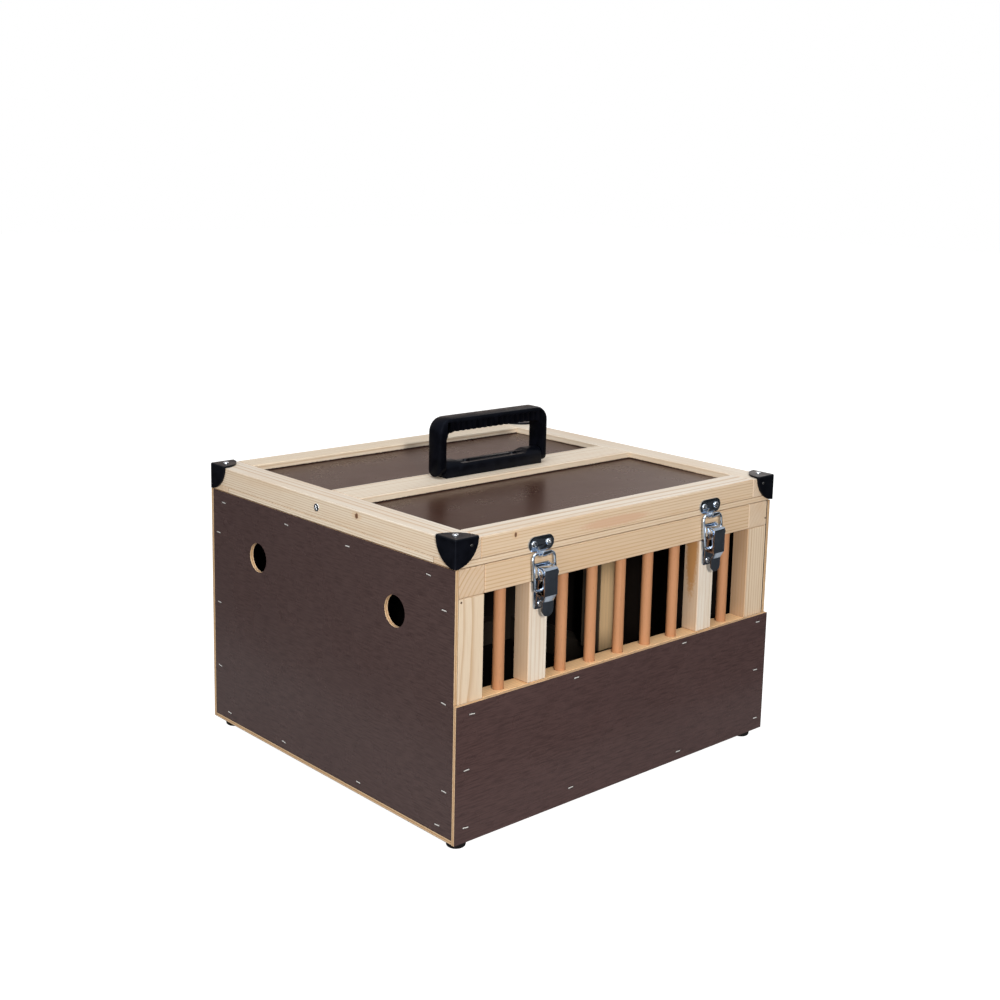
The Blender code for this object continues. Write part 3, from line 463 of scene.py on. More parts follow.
deselect_all()
bpy.ops.mesh.primitive_cube_add(size=1.0, location=(0, 0, 0))
staple_model = bpy.context.object
staple_model.name = "staple_model"
bpy.ops.transform.resize(value=(staple_crown, staple_wire, 2 * staple_rise))
bpy.ops.object.transform_apply(location=True, rotation=True, scale=True)
bpy.ops.object.mode_set(mode="EDIT")
bpy.ops.mesh.bevel(offset=staple_round, segments=2, affect="EDGES")
bpy.ops.object.mode_set(mode="OBJECT")
staple_model.data.materials.append(staple_finish)
deselect_all()
bpy.ops.mesh.primitive_cylinder_add(vertices=20, radius=0.5, depth=2.0, location=(0, 0, 0))
dent_model = bpy.context.object
bpy.ops.transform.resize(value=(dent_length, dent_width, dent_rise))
bpy.ops.object.transform_apply(location=True, rotation=True, scale=True)
wanted_edges(dent_model, lambda corner: corner.z > 0)
bpy.ops.mesh.bevel(offset=dent_round, segments=1, affect="EDGES")
bpy.ops.object.mode_set(mode="OBJECT")
dent_model.data.materials.append(dent_shade_finish)
staple_model.select_set(True)
bpy.context.view_layer.objects.active = staple_model
bpy.ops.object.join()

floor_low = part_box("floor_panel")[0]
front_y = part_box("front_panel")[0].y
back_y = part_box("back_panel")[1].y
side_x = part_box("right_side_panel")[1].x
staple_draw = Random(7)


def staple_places(marks, direction, to_point):
    """Where each staple of a board stands, every one turned a little off the straight."""
    places = []
    for along, height in marks:
        turn = Matrix.Rotation(radians(staple_draw.uniform(-staple_turn, staple_turn)), 4, "Z")
        places.append(standing(direction, to_point(along * mm, floor_low.z + height * mm)) @ turn)
    return places


for side, sign in (("left", -1), ("right", 1)):
    side_spots = staple_places(side_wall_staples, (sign, 0, 0),
                               lambda along, z: (sign * side_x, front_y + along, z))
    set_copies(staple_model, side + "_wall_staples", side_spots, "box")
front_spots = staple_places(front_wall_staples, (0, -1, 0), lambda along, z: (along - side_x, front_y, z))
set_copies(staple_model, "front_wall_staples", front_spots, "box")
back_spots = staple_places(back_wall_staples, (0, 1, 0), lambda along, z: (along - side_x, back_y, z))
set_copies(staple_model, "back_wall_staples", back_spots, "box")
bpy.data.objects.remove(staple_model)


# The body frame: planed spruce battens, glued and nailed at the corners. Pale early wood with thin tan
# growth lines that run along each batten and cross its sawn ends as slanting bands.
early_wood = (0.80, 0.69, 0.55, 1.0)
late_wood = (0.50, 0.30, 0.15, 1.0)
honey = (0.64, 0.43, 0.25, 1.0)
end_grain = (0.60, 0.42, 0.28, 1.0)
knot_brown = (0.17, 0.075, 0.035, 1.0)
pitch_orange = (0.50, 0.25, 0.09, 1.0)
# Painted shade: near black brown laid over the battens deep inside the box, where little light reaches.
painted_shade_brown = (0.008, 0.0045, 0.0035, 1.0)
# Painted light: a bright warm tone for the lit front faces of the centre posts.
painted_light_wood = (1.0, 0.68, 0.37, 1.0)
# Painted light on the mullions' front faces, and painted warm shade on the sides that look to the left.
painted_light_pale = (0.86, 0.82, 0.77, 1.0)
painted_shade_tan = (0.50, 0.30, 0.165, 1.0)
# Painted light: a bright warm tone for the top face of the grille sill.
sill_painted_light = (1.0, 0.63, 0.32, 1.0)
painted_shade_share = 0.97
sawn_end_share = 0.5
ring_width = 2.9 * mm
ring_wander = 2.0 * mm
pith_reach = (45 * mm, 110 * mm)
wood_relief = 0.08 * mm
wood_smooth = 0.5
wood_rough = 0.66
mark_ragged = 0.3
mark_speckle = 500.0
length_turns = {0: Euler((0, radians(-90), 0)), 1: Euler((radians(90), 0, 0)), 2: Euler((0, 0, 0))}
frame_battens = {"front_left_post": 2, "front_right_post": 2, "back_left_post": 2, "back_right_post": 2,
                 "left_centre_post": 2, "right_centre_post": 2, "left_mullion": 2, "right_mullion": 2,
                 "front_top_rail": 0, "back_top_rail": 0, "left_top_rail": 1, "right_top_rail": 1,
                 "front_bottom_rail": 0, "back_bottom_rail": 0, "left_bottom_rail": 1,
                 "right_bottom_rail": 1, "grille_sill": 0}

grain_group, grain_in, grain_out = new_group(
    "growth rings", [("Vector", "NodeSocketVector", None), ("Pith", "NodeSocketVector", None),
                     ("Ring Width", "NodeSocketFloat", ring_width),
                     ("Wander", "NodeSocketFloat", ring_wander)],
    [("Late Wood", "NodeSocketFloat"), ("Tone", "NodeSocketFloat"), ("Fibre", "NodeSocketFloat")])
grain_place = grain_in["Vector"]
grain_sway = noise(grain_group, stretched(grain_group, grain_place, (22.0, 22.0, 5.0)), 1.0)
grain_sway = math_step(grain_group, "SUBTRACT", grain_sway, 0.5)
grain_sway = math_step(grain_group, "MULTIPLY", grain_sway, grain_in["Wander"])
grain_offset = vector_step(grain_group, "SUBTRACT", grain_place, grain_in["Pith"])[0]
grain_flat = stretched(grain_group, grain_offset, (1.0, 1.0, 0.0))
grain_radius = vector_step(grain_group, "LENGTH", grain_flat)["Value"]
grain_radius = math_step(grain_group, "ADD", grain_radius, grain_sway)
grain_years = math_step(grain_group, "DIVIDE", grain_radius, grain_in["Ring Width"])
grain_season = math_step(grain_group, "FRACT", grain_years)
grain_year = math_step(grain_group, "FLOOR", grain_years)
grain_chance = add_node(grain_group, "ShaderNodeTexWhiteNoise", {"W": grain_year}, noise_dimensions="1D")
grain_strength = ranged(grain_group, grain_chance.outputs["Value"], 0.0, 1.0, 0.35, 1.0)
grain_rise = ranged(grain_group, grain_season, 0.55, 0.92, smooth=True)
grain_fall = ranged(grain_group, grain_season, 0.95, 1.0, 1.0, 0.0)
grain_line = math_step(grain_group, "MULTIPLY", grain_rise, grain_fall)
grain_line = math_step(grain_group, "MULTIPLY", grain_line, grain_strength)
grain_fibre = noise(grain_group, stretched(grain_group, grain_place, (1100.0, 1100.0, 40.0)), 1.0, 3.0, 0.6)
grain_tone = noise(grain_group, stretched(grain_group, grain_place, (60.0, 60.0, 6.0)), 1.0)
grain_group.links.new(grain_line, grain_out["Late Wood"])
grain_group.links.new(grain_tone, grain_out["Tone"])
grain_group.links.new(grain_fibre, grain_out["Fibre"])


def spot_mask(tree, place, middle, half_size):
    """An oval with a soft, ragged edge round a point, 1 inside and 0 outside."""
    offset = vector_step(tree, "SUBTRACT", place, middle)[0]
    distance = vector_step(tree, "LENGTH", vector_step(tree, "DIVIDE", offset, half_size)[0])["Value"]
    speckle = ranged(tree, noise(tree, place, mark_speckle), 0.0, 1.0, -mark_ragged, mark_ragged)
    return ranged(tree, math_step(tree, "ADD", distance, speckle), 0.6, 1.1, 1.0, 0.0, smooth=True)


def along_length(tree, place, middle, axis, slide=0.0):
    """Object coordinates turned so that a batten lies along Z with its middle at zero."""
    turn = length_turns[axis]
    shift = Vector((0, 0, slide)) - turn.to_matrix() @ Vector(middle)
    feeds = {"Vector": place, "Location": shift, "Rotation": turn}
    return add_node(tree, "ShaderNodeMapping", feeds).outputs[0]


def spruce_colour(tree, place, middle, axis, draw, lean=None, rings=None, wander=ring_wander, lines=1.0,
                  ground=early_wood):
    """The growth lines of one batten on its ground tone, as colour and relief.

    Lean turns its pith, in degrees, off the first axis. Rings and wander are the lines' spacing and sway,
    and lines is how strongly they show.
    """
    reach = draw.uniform(*pith_reach)
    side = draw.choice((-1, 1))
    turn = draw.uniform(25, 65) if lean is None else lean
    width = ring_width * draw.uniform(0.8, 1.3) if rings is None else rings
    pith = Matrix.Rotation(radians(turn), 3, "Z") @ Vector((side * reach, 0, 0))
    grain_start = along_length(tree, place, middle, axis, draw.uniform(-3, 3))
    grain = place_group(tree, grain_group, {"Vector": grain_start, "Pith": pith, "Ring Width": width,
                                            "Wander": wander})
    wood = blend(tree, math_step(tree, "MULTIPLY", grain["Late Wood"], lines), ground, late_wood)
    wood = blend(tree, ranged(tree, grain["Tone"], 0.45, 0.75, 0.0, 0.35), wood, honey)
    wood = blend(tree, ranged(tree, grain["Fibre"], 0.5, 0.8, 0.0, 0.3), wood, late_wood)
    return wood, grain["Fibre"]


def spruce(node_name, axis, marks=(), tan=0.12, figure=None, painted_shade=0.0, faces=()):
    """Planed spruce for one batten along an axis, with a share of honey in its ground and of painted shade
    over it.

    Marks are ovals: a share, a colour, a middle and half sizes. Figure is what spruce_colour is told of the
    growth lines. Faces are sides with painted light and shade of their own: an axis, a sign, a share and a
    colour.
    """
    low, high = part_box(node_name)
    finish, tree, shader = new_finish(node_name + " spruce")
    coordinates = tree.nodes.new("ShaderNodeTexCoord")
    place = coordinates.outputs["Object"]
    sawn_end = squarely_along(tree, coordinates, axis, 0.7)
    ground = blend(tree, tan, early_wood, honey)
    ground = blend(tree, math_step(tree, "MULTIPLY", sawn_end, sawn_end_share), ground, end_grain)
    for face_axis, face_sign, face_share, face_colour in faces:
        on_face = looking(tree, coordinates, face_axis, face_sign)
        ground = blend(tree, math_step(tree, "MULTIPLY", on_face, face_share), ground, face_colour)
    wood, fibre = spruce_colour(tree, place, (low + high) / 2, axis, Random(node_name), ground=ground,
                                **(figure or {}))
    # Painted shade over the whole batten.
    if painted_shade:
        wood = blend(tree, painted_shade, wood, painted_shade_brown)
    for mark_share, mark_colour, mark_middle, mark_half in marks:
        mark_mask = math_step(tree, "MULTIPLY", spot_mask(tree, place, mark_middle, mark_half), mark_share)
        wood = blend(tree, mark_mask, wood, mark_colour)
    tree.links.new(wood, shader.inputs["Base Color"])
    tree.links.new(ranged(tree, fibre, 0.3, 0.8, wood_smooth, wood_rough), shader.inputs["Roughness"])
    bumped(tree, shader, fibre, wood_relief)
    return finish


right_mullion_low, right_mullion_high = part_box("right_mullion")
pitch_inset = 9 * mm
pitch_drop = 6 * mm
pitch_half = Vector((4, 7.5, 54)) * mm
pitch_middle = Vector((right_mullion_low.x, right_mullion_low.y + pitch_inset,
                       right_mullion_high.z - pitch_drop))
# Painted light on the mullions' fronts, and painted shade on their left sides.
mullion_light_and_shade = [(1, -1, 0.45, painted_light_pale), (0, -1, 0.55, painted_shade_tan)]
batten_looks = {
    "front_left_post": {"tan": 0.32, "figure": {"lean": 78, "rings": 2.6 * mm, "wander": 7 * mm}},
    # Painted warm shade on the right post's left side.
    "front_right_post": {"tan": 0.35, "faces": [(0, -1, 0.8, painted_shade_tan)]},
    "left_mullion": {"tan": 0.08, "figure": {"lines": 0.4}, "faces": mullion_light_and_shade},
    "right_mullion": {"tan": 0.08, "figure": {"lines": 0.4}, "faces": mullion_light_and_shade,
                      "marks": [(1.0, pitch_orange, pitch_middle, pitch_half)]},
    # Painted light on the centre posts' front faces, and painted shade on their faces inside the box.
    "left_centre_post": {"figure": {"lines": 0.2},
                         "faces": [(1, -1, 0.95, painted_light_wood), (0, 1, 0.9, painted_shade_brown)]},
    "right_centre_post": {"tan": 0.0, "figure": {"lines": 0.2},
                          "faces": [(1, -1, 0.95, painted_light_wood), (0, -1, 0.9, painted_shade_brown)]},
    # Painted shade: the front top rail's large share of honey darkens it as the shade under the lid.
    "front_top_rail": {"tan": 0.68, "figure": {"lean": 20, "rings": 3.2 * mm, "wander": 1.5 * mm}},
    "left_top_rail": {"tan": 0.4, "figure": {"lean": 40, "rings": 4.2 * mm, "wander": 1.5 * mm}},
    "right_top_rail": {"figure": {"lean": 40, "rings": 4.2 * mm, "wander": 1.5 * mm, "lines": 0.3}},
    # Painted light on the sill's top face.
    "grille_sill": {"tan": 0.3, "figure": {"lean": 80, "rings": 2.6 * mm, "lines": 0.7},
                    "faces": [(2, 1, 0.95, sill_painted_light)]}}
# Painted shade: the back posts and the bottom rails, seen through the grille, are laid almost black.
for shaded_name in ("back_left_post", "back_right_post", "front_bottom_rail", "back_bottom_rail",
                     "left_bottom_rail", "right_bottom_rail"):
    batten_looks[shaded_name] = {"painted_shade": painted_shade_share}
for batten_name, batten_axis in frame_battens.items():
    batten_finish = spruce(batten_name, batten_axis, **batten_looks.get(batten_name, {}))
    nodes[batten_name].material_slots[0].material = batten_finish


# The nails at the front corners: thin steel pins, punched in flush, so that each shows as a small dark dot.
# One is at the top of the left post, and one in the sawn end of the right top rail.
nail_radius = 1.0 * mm
nail_rise = 0.05 * mm
nail_round = 0.03 * mm
nail_speckle = 1500.0
nail_roughness = 0.7
post_nail_inset = 2.5 * mm
post_nail_drop = 3 * mm
rail_nail_inset = 1.8 * mm
rail_nail_height = 7 * mm
nail_dark = (0.02, 0.016, 0.014, 1.0)
nail_finish = speckled("nail dot", nail_dark, knot_brown, nail_speckle, nail_roughness)
deselect_all()
bpy.ops.mesh.primitive_cylinder_add(vertices=16, radius=nail_radius, depth=2 * nail_rise,
                                    location=(0, 0, 0))
nail_model = bpy.context.object
wanted_edges(nail_model, lambda corner: corner.z > 0)
bpy.ops.mesh.bevel(offset=nail_round, segments=1, affect="EDGES")
bpy.ops.object.mode_set(mode="OBJECT")
nail_model.data.materials.append(nail_finish)
post_low, post_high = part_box("front_left_post")
rail_low, rail_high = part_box("right_top_rail")
post_nail = (post_low.x + post_nail_inset, post_low.y, post_high.z - post_nail_drop)
rail_nail = (rail_high.x - rail_nail_inset, rail_low.y, rail_low.z + rail_nail_height)
nail_spots = [standing((0, -1, 0), post_nail), standing((0, -1, 0), rail_nail)]
set_copies(nail_model, "corner_nails", nail_spots, "box")
bpy.data.objects.remove(nail_model)


# The grille dowels: turned beech, 10 mm thick, pushed into drilled sockets in the sill and the front rail.
# The wood is warm and even, with fine darker flecks along its length.
beech_warm = (0.54, 0.255, 0.122, 1.0)
beech_deep = (0.41, 0.185, 0.083, 1.0)
beech_fleck = (0.33, 0.15, 0.07, 1.0)
beech_ring = 3.5 * mm
beech_wander = 3 * mm
beech_pith = (20 * mm, 50 * mm)
beech_relief = 0.04 * mm
fleck_scale = (1400.0, 1400.0, 160.0)
dowel_names = [name for name in sorted(nodes) if name.startswith("grille_dowel_")]


def beech(node_name):
    """Turned beech for one upright dowel."""
    low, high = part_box(node_name)
    draw = Random(node_name)
    finish, tree, shader = new_finish(node_name + " beech")
    place = tree.nodes.new("ShaderNodeTexCoord").outputs["Object"]
    upright = along_length(tree, place, (low + high) / 2, 2, draw.uniform(-2, 2))
    pith = (draw.uniform(*beech_pith), draw.uniform(*beech_pith), 0.0)
    grain = place_group(tree, grain_group, {"Vector": upright, "Pith": pith, "Ring Width": beech_ring,
                                            "Wander": beech_wander})
    flecks = noise(tree, stretched(tree, upright, fleck_scale), 1.0, 1.0)
    wood = blend(tree, math_step(tree, "MULTIPLY", grain["Late Wood"], 0.5), beech_warm, beech_deep)
    wood = blend(tree, ranged(tree, grain["Tone"], 0.4, 0.7, 0.0, 0.4), wood, beech_deep)
    wood = blend(tree, ranged(tree, flecks, 0.62, 0.75, 0.0, 0.6), wood, beech_fleck)
    tree.links.new(wood, shader.inputs["Base Color"])
    tree.links.new(ranged(tree, grain["Fibre"], 0.3, 0.8, 0.42, 0.58), shader.inputs["Roughness"])
    bumped(tree, shader, grain["Fibre"], beech_relief)
    return finish


for dowel_name in dowel_names:
    nodes[dowel_name].material_slots[0].material = beech(dowel_name)


# The feet: four moulded buttons of black rubber, matt and a little dusty. Each stands under a corner of
# the floor and is held by one screw, whose head lies deep in the foot.
foot_black = (0.004, 0.004, 0.005, 1.0)
foot_dust = (0.016, 0.015, 0.015, 1.0)
foot_smudge = 6 * mm
foot_clean = 0.6
foot_rubbed = 0.85
foot_sheen = 0.12
foot_pebble = 0.05 * mm
foot_pebble_scale = 1800.0
foot_finish, foot_tree, foot_shader, foot_place = handled("dusty black rubber", foot_black, foot_dust,
                                                          foot_clean, foot_rubbed, foot_smudge)
bumped(foot_tree, foot_shader, noise(foot_tree, foot_place, foot_pebble_scale), foot_pebble)
foot_shader.inputs["Specular IOR Level"].default_value = foot_sheen
foot_names = [row + "_" + side + "_foot" for row in ("front", "back") for side in ("left", "right")]
for foot_name in foot_names:
    nodes[foot_name].material_slots[0].material = foot_finish


# The screws: zinc-plated steel with a low round head and a cross slot. One model of the head, in several
# sizes, serves the feet, the lid, the caps, the handle, the latches and the hinges. A head's size is its
# radius and its rise.
screw_zinc = (0.72, 0.75, 0.79, 1.0)
screw_finish = galvanised("zinc-plated screw", screw_zinc, clean=0.16, rubbed=0.34)
head_round_share = 0.85
head_smooth_angle = 35
slot_length_share = 1.15
slot_width_share = 0.24
slot_round_share = 0.08
slot_depth_share = 0.65
foot_screw_head = (3.2 * mm, 1.6 * mm)
foot_screw_height = 4 * mm


def model_screw(radius, rise, finish):
    """A screw head that stands on the XY plane, with a cross cut into it."""
    slot_size = (radius * slot_length_share, radius * slot_width_share, 2 * rise * slot_depth_share)
    deselect_all()
    bpy.ops.mesh.primitive_cylinder_add(vertices=28, radius=radius, depth=rise, location=(0, 0, rise / 2))
    head = bpy.context.object
    bpy.ops.object.transform_apply(location=True, rotation=True, scale=True)
    wanted_edges(head, lambda corner: corner.z > rise / 2)
    bpy.ops.mesh.bevel(offset=min(rise * head_round_share, radius / 2), segments=4, affect="EDGES")
    bpy.ops.object.mode_set(mode="OBJECT")
    for turn in (0, 90):
        deselect_all()
        bpy.ops.mesh.primitive_cube_add(size=1.0, location=(0, 0, rise), rotation=(0, 0, radians(turn)))
        slot_tool = bpy.context.object
        slot_tool.scale = slot_size
        bpy.ops.object.transform_apply(location=True, rotation=True, scale=True)
        wanted_edges(slot_tool, lambda corner: corner.z < rise)
        bpy.ops.mesh.bevel(offset=radius * slot_round_share, segments=1, affect="EDGES")
        bpy.ops.object.mode_set(mode="OBJECT")
        deselect_all()
        head.select_set(True)
        bpy.context.view_layer.objects.active = head
        slot_cut = head.modifiers.new("slot", "BOOLEAN")
        slot_cut.object = slot_tool
        slot_cut.operation = "DIFFERENCE"
        bpy.ops.object.modifier_apply(modifier=slot_cut.name)
        bpy.data.objects.remove(slot_tool)
    bpy.ops.object.shade_smooth_by_angle(angle=radians(head_smooth_angle))
    head.data.materials.append(finish)
    return head


def drive_screws(name, head_size, spots, body, finish=screw_finish):
    """Screw heads at several places, each a direction, a point and a turn of its cross in degrees."""
    head = model_screw(*head_size, finish)
    places = [standing(direction, point) @ Matrix.Rotation(radians(turn), 4, "Z")
              for direction, point, turn in spots]
    set_copies(head, name, places, body)
    bpy.data.objects.remove(head)


foot_screws = []
for foot_name in foot_names:
    foot_low, foot_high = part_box(foot_name)
    foot_middle = (foot_low + foot_high) / 2
    foot_spot = (foot_middle.x, foot_middle.y, foot_low.z + foot_screw_height)
    foot_screws.append(((0, 0, -1), foot_spot, 20 * len(foot_screws)))
drive_screws("foot_screws", foot_screw_head, foot_screws, "box")


# The lid frame: wider spruce battens, grooved for the panels, with flat slats glued under them. The front
# and back slats run the whole width, and the side slats are butted between them. Glue and wood dust fill
# the side joints. A screw through each side rail holds the middle rail.
seam_dark = (0.16, 0.085, 0.04, 1.0)
# Painted shadow: a near black line on the rails' inner faces along the top of each panel, where the groove's
# gap is in shade.
groove_painted_shadow = (0.02, 0.009, 0.006, 1.0)
knot_halo = (0.70, 0.47, 0.27, 1.0)
heart_pink = (0.64, 0.40, 0.26, 1.0)
# Painted sheen: a pale grey laid on the lid rails' top faces.
painted_sheen_grey = (0.72, 0.68, 0.64, 1.0)
seam_half = 0.35 * mm
glue_depth = 2 * mm
glue_sunk = 0.08 * mm
glue_speckle = 300.0
glue_roughness = 0.7
lid_tan = 0.06
rail_screw_head = (3.6 * mm, 0.5 * mm)
rail_screw_offset = 5 * mm
rail_screw_proud = 0.1 * mm
left_knot_back = 130 * mm
left_knot_drop = 5 * mm
left_knot_half = Vector((2, 2.6, 2.8)) * mm
left_halo_half = Vector((4, 8, 4)) * mm
front_knot_x = -136 * mm
front_knot_drop = 4.5 * mm
front_knot_half = Vector((1.7, 2, 2.5)) * mm
front_halo_half = Vector((5, 4, 4)) * mm
heart_x = -18 * mm
heart_height = 7 * mm
heart_half = Vector((48, 4, 5)) * mm
cross_groove_shadow_half = Vector((2000, 2.0, 1.4)) * mm
side_groove_shadow_half = Vector((2.0, 140, 1.4)) * mm
side_lines = {"lean": 74, "rings": 2.1 * mm}
front_lines = {"lean": 16, "rings": 2.4 * mm}
left_rail_low, left_rail_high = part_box("lid_left_rail")
front_rail_low, front_rail_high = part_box("lid_front_rail")
middle_rail_low, middle_rail_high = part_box("lid_middle_rail")
panel_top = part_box("lid_front_panel")[1].z
left_knot = Vector((left_rail_low.x, left_rail_low.y + left_knot_back, left_rail_high.z - left_knot_drop))
front_knot = Vector((front_knot_x, front_rail_low.y, front_rail_high.z - front_knot_drop))
heart_streak = Vector((heart_x, front_rail_low.y, front_rail_low.z + heart_height))
# The painted shadow lines in the grooves run along the panels' tops.
back_groove = Vector((0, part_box("lid_back_rail")[0].y, panel_top))
middle_groove = Vector((0, middle_rail_low.y, panel_top))
right_groove = Vector((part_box("lid_right_rail")[0].x, 0, panel_top))
lid_battens = {"lid_left_rail": 1, "lid_right_rail": 1, "lid_front_rail": 0, "lid_middle_rail": 0,
               "lid_back_rail": 0}
lid_looks = {
    # Painted sheen on the rails' top faces.
    "lid_left_rail": {"tan": lid_tan, "figure": {**side_lines, "wander": 1.5 * mm},
                      "faces": [(2, 1, 0.4, painted_sheen_grey)],
                      "marks": [(0.45, knot_halo, left_knot, left_halo_half),
                                (1.0, knot_brown, left_knot, left_knot_half)]},
    # Painted shadow lines in the grooves of the right, middle and back rails.
    "lid_right_rail": {"tan": lid_tan, "figure": {"lines": 0.4}, "faces": [(2, 1, 0.3, painted_sheen_grey)],
                       "marks": [(1.0, groove_painted_shadow, right_groove, side_groove_shadow_half)]},
    # Painted shade: the front face of the lid's front rail is laid darker with honey.
    "lid_front_rail": {"tan": 0.12, "figure": {**front_lines, "wander": 2.5 * mm},
                       "faces": [(1, -1, 0.42, honey), (2, 1, 0.4, painted_sheen_grey)],
                       "marks": [(0.8, heart_pink, heart_streak, heart_half),
                                 (0.45, knot_halo, front_knot, front_halo_half),
                                 (1.0, knot_brown, front_knot, front_knot_half)]},
    "lid_middle_rail": {"tan": lid_tan, "faces": [(2, 1, 0.2, painted_sheen_grey)],
                        "marks": [(1.0, groove_painted_shadow, middle_groove, cross_groove_shadow_half)]},
    "lid_back_rail": {"tan": lid_tan, "marks": [(1.0, groove_painted_shadow, back_groove, cross_groove_shadow_half)]}}
for batten_name, batten_axis in lid_battens.items():
    batten_finish = spruce(batten_name, batten_axis, **lid_looks[batten_name])
    nodes[batten_name].material_slots[0].material = batten_finish

slat_finish, slat_tree, slat_shader = new_finish("lid slats spruce")
slat_place = slat_tree.nodes.new("ShaderNodeTexCoord").outputs["Object"]
slat_low, slat_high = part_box("lid_slat_frame")
slat_middle = (slat_low + slat_high) / 2
slat_offset = math_step(slat_tree, "SUBTRACT", part_along(slat_tree, slat_place, 1), slat_middle.y)
slat_from_middle = math_step(slat_tree, "ABSOLUTE", slat_offset)
slat_seam = (slat_high.y - slat_low.y) / 2 - (front_rail_high.y - front_rail_low.y)
on_cross_slat = math_step(slat_tree, "GREATER_THAN", slat_from_middle, slat_seam)
cross_start = Vector((0, slat_low.y, slat_middle.z))
cross_wood = spruce_colour(slat_tree, slat_place, cross_start, 0, Random("cross slats"), **front_lines)[0]
side_start = Vector((slat_low.x, 0, slat_middle.z))
side_wood, slat_fibre = spruce_colour(slat_tree, slat_place, side_start, 1, Random("side slats"),
                                      **side_lines)
slat_wood = blend(slat_tree, on_cross_slat, side_wood, blend(slat_tree, 0.42, cross_wood, honey))
seam_offset = math_step(slat_tree, "SUBTRACT", slat_from_middle, slat_seam)
seam_distance = math_step(slat_tree, "ABSOLUTE", seam_offset)
on_seam = ranged(slat_tree, seam_distance, 0.0, seam_half, 1.0, 0.0)
slat_tree.links.new(blend(slat_tree, on_seam, slat_wood, seam_dark), slat_shader.inputs["Base Color"])
slat_roughness = ranged(slat_tree, slat_fibre, 0.3, 0.8, wood_smooth, wood_rough)
slat_tree.links.new(slat_roughness, slat_shader.inputs["Roughness"])
bumped(slat_tree, slat_shader, slat_fibre, wood_relief)
nodes["lid_slat_frame"].material_slots[0].material = slat_finish

glue_finish = speckled("glue and wood dust", early_wood, honey, glue_speckle, glue_roughness)
deselect_all()
bpy.ops.mesh.primitive_cube_add(size=1.0, location=(0, 0, 0))
glue_model = bpy.context.object
glue_length = left_rail_high.y - left_rail_low.y
glue_height = left_rail_low.z - slat_high.z
bpy.ops.transform.resize(value=(glue_depth, glue_length, glue_height))
bpy.ops.object.transform_apply(location=True, rotation=True, scale=True)
glue_model.data.materials.append(glue_finish)
glue_y = (left_rail_low.y + left_rail_high.y) / 2
glue_z = (left_rail_low.z + slat_high.z) / 2
glue_x = left_rail_low.x + glue_sunk + glue_depth / 2
glue_spots = [Matrix.Translation((sign * glue_x, glue_y, glue_z)) for sign in (1, -1)]
set_copies(glue_model, "lid_glue_lines", glue_spots, "lid")
bpy.data.objects.remove(glue_model)

rail_screw_x = rail_screw_proud - left_rail_low.x
rail_screw_y = (middle_rail_low.y + middle_rail_high.y) / 2 + rail_screw_offset
rail_screw_z = (left_rail_low.z + left_rail_high.z) / 2
rail_screws = [((sign, 0, 0), (sign * rail_screw_x, rail_screw_y, rail_screw_z), turn)
               for sign, turn in ((-1, 20), (1, 55))]
drive_screws("middle_rail_screws", rail_screw_head, rail_screws, "lid")


# The lid panels: film-faced ply like the walls, with a redder film, sawn to size. They are slid into the
# grooves of the lid frame before its last rail is glued on.
lid_film_brown = (0.050, 0.019, 0.012, 1.0)
lid_film_dark = (0.036, 0.014, 0.009, 1.0)
lid_clean = 0.27
lid_rubbed = 0.31
for panel_name in ("lid_front_panel", "lid_back_panel"):
    nodes[panel_name].material_slots[0].material = film_faced_ply(
        panel_name, 2, 0, lid_film_brown, lid_film_dark, lid_clean, lid_rubbed)


# The corner caps: thin moulded black plastic, satin and slightly pebbled, pushed over the lid's corners
# and held by a small screw in the top flap and one in the front or back flap.
plastic_black = (0.0018, 0.0020, 0.0034, 1.0)
plastic_grey = (0.0034, 0.0038, 0.0066, 1.0)
plastic_tint = (0.70, 0.80, 1.0, 1.0)
plastic_smudge = 12 * mm
pebble_scale = 2600.0
cap_clean = 0.34
cap_rubbed = 0.48
cap_pebble = 0.02 * mm
cap_sheen = 0.15
cap_top_head = (2.7 * mm, 1.2 * mm)
cap_top_inset_x = 10 * mm
cap_top_inset_y = 12 * mm
cap_face_head = (1.3 * mm, 0.5 * mm)
cap_face_inset = 17 * mm
cap_face_drop = 7 * mm
dull_zinc = (0.16, 0.155, 0.15, 1.0)
dull_finish = galvanised("dulled small screw", dull_zinc, clean=0.35, rubbed=0.55)


def moulded_plastic(name, clean, rubbed, pebble, sheen):
    """Black moulded plastic with a fine pebbled skin and rubbed patches."""
    finish, tree, shader, place = handled(name, plastic_black, plastic_grey, clean, rubbed, plastic_smudge)
    shader.inputs["Specular IOR Level"].default_value = sheen
    shader.inputs["Specular Tint"].default_value = plastic_tint
    bumped(tree, shader, noise(tree, place, pebble_scale, 1.0), pebble)
    return finish


cap_finish = moulded_plastic("satin black cap", cap_clean, cap_rubbed, cap_pebble, cap_sheen)
cap_top_screws = []
cap_face_screws = []
for row, row_sign in (("front", -1), ("back", 1)):
    for side, side_sign in (("left", -1), ("right", 1)):
        cap_name = row + "_" + side + "_corner_cap"
        nodes[cap_name].material_slots[0].material = cap_finish
        cap_low, cap_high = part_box(cap_name)
        corner_x = cap_low.x if side_sign < 0 else cap_high.x
        corner_y = cap_low.y if row_sign < 0 else cap_high.y
        top_spot = (corner_x - side_sign * cap_top_inset_x, corner_y - row_sign * cap_top_inset_y,
                    cap_high.z)
        cap_top_screws.append(((0, 0, 1), top_spot, 15 + 25 * len(cap_top_screws)))
        face_spot = (corner_x - side_sign * cap_face_inset, corner_y, cap_high.z - cap_face_drop)
        cap_face_screws.append(((0, row_sign, 0), face_spot, 40 * len(cap_face_screws)))
drive_screws("cap_top_screws", cap_top_head, cap_top_screws, "lid")
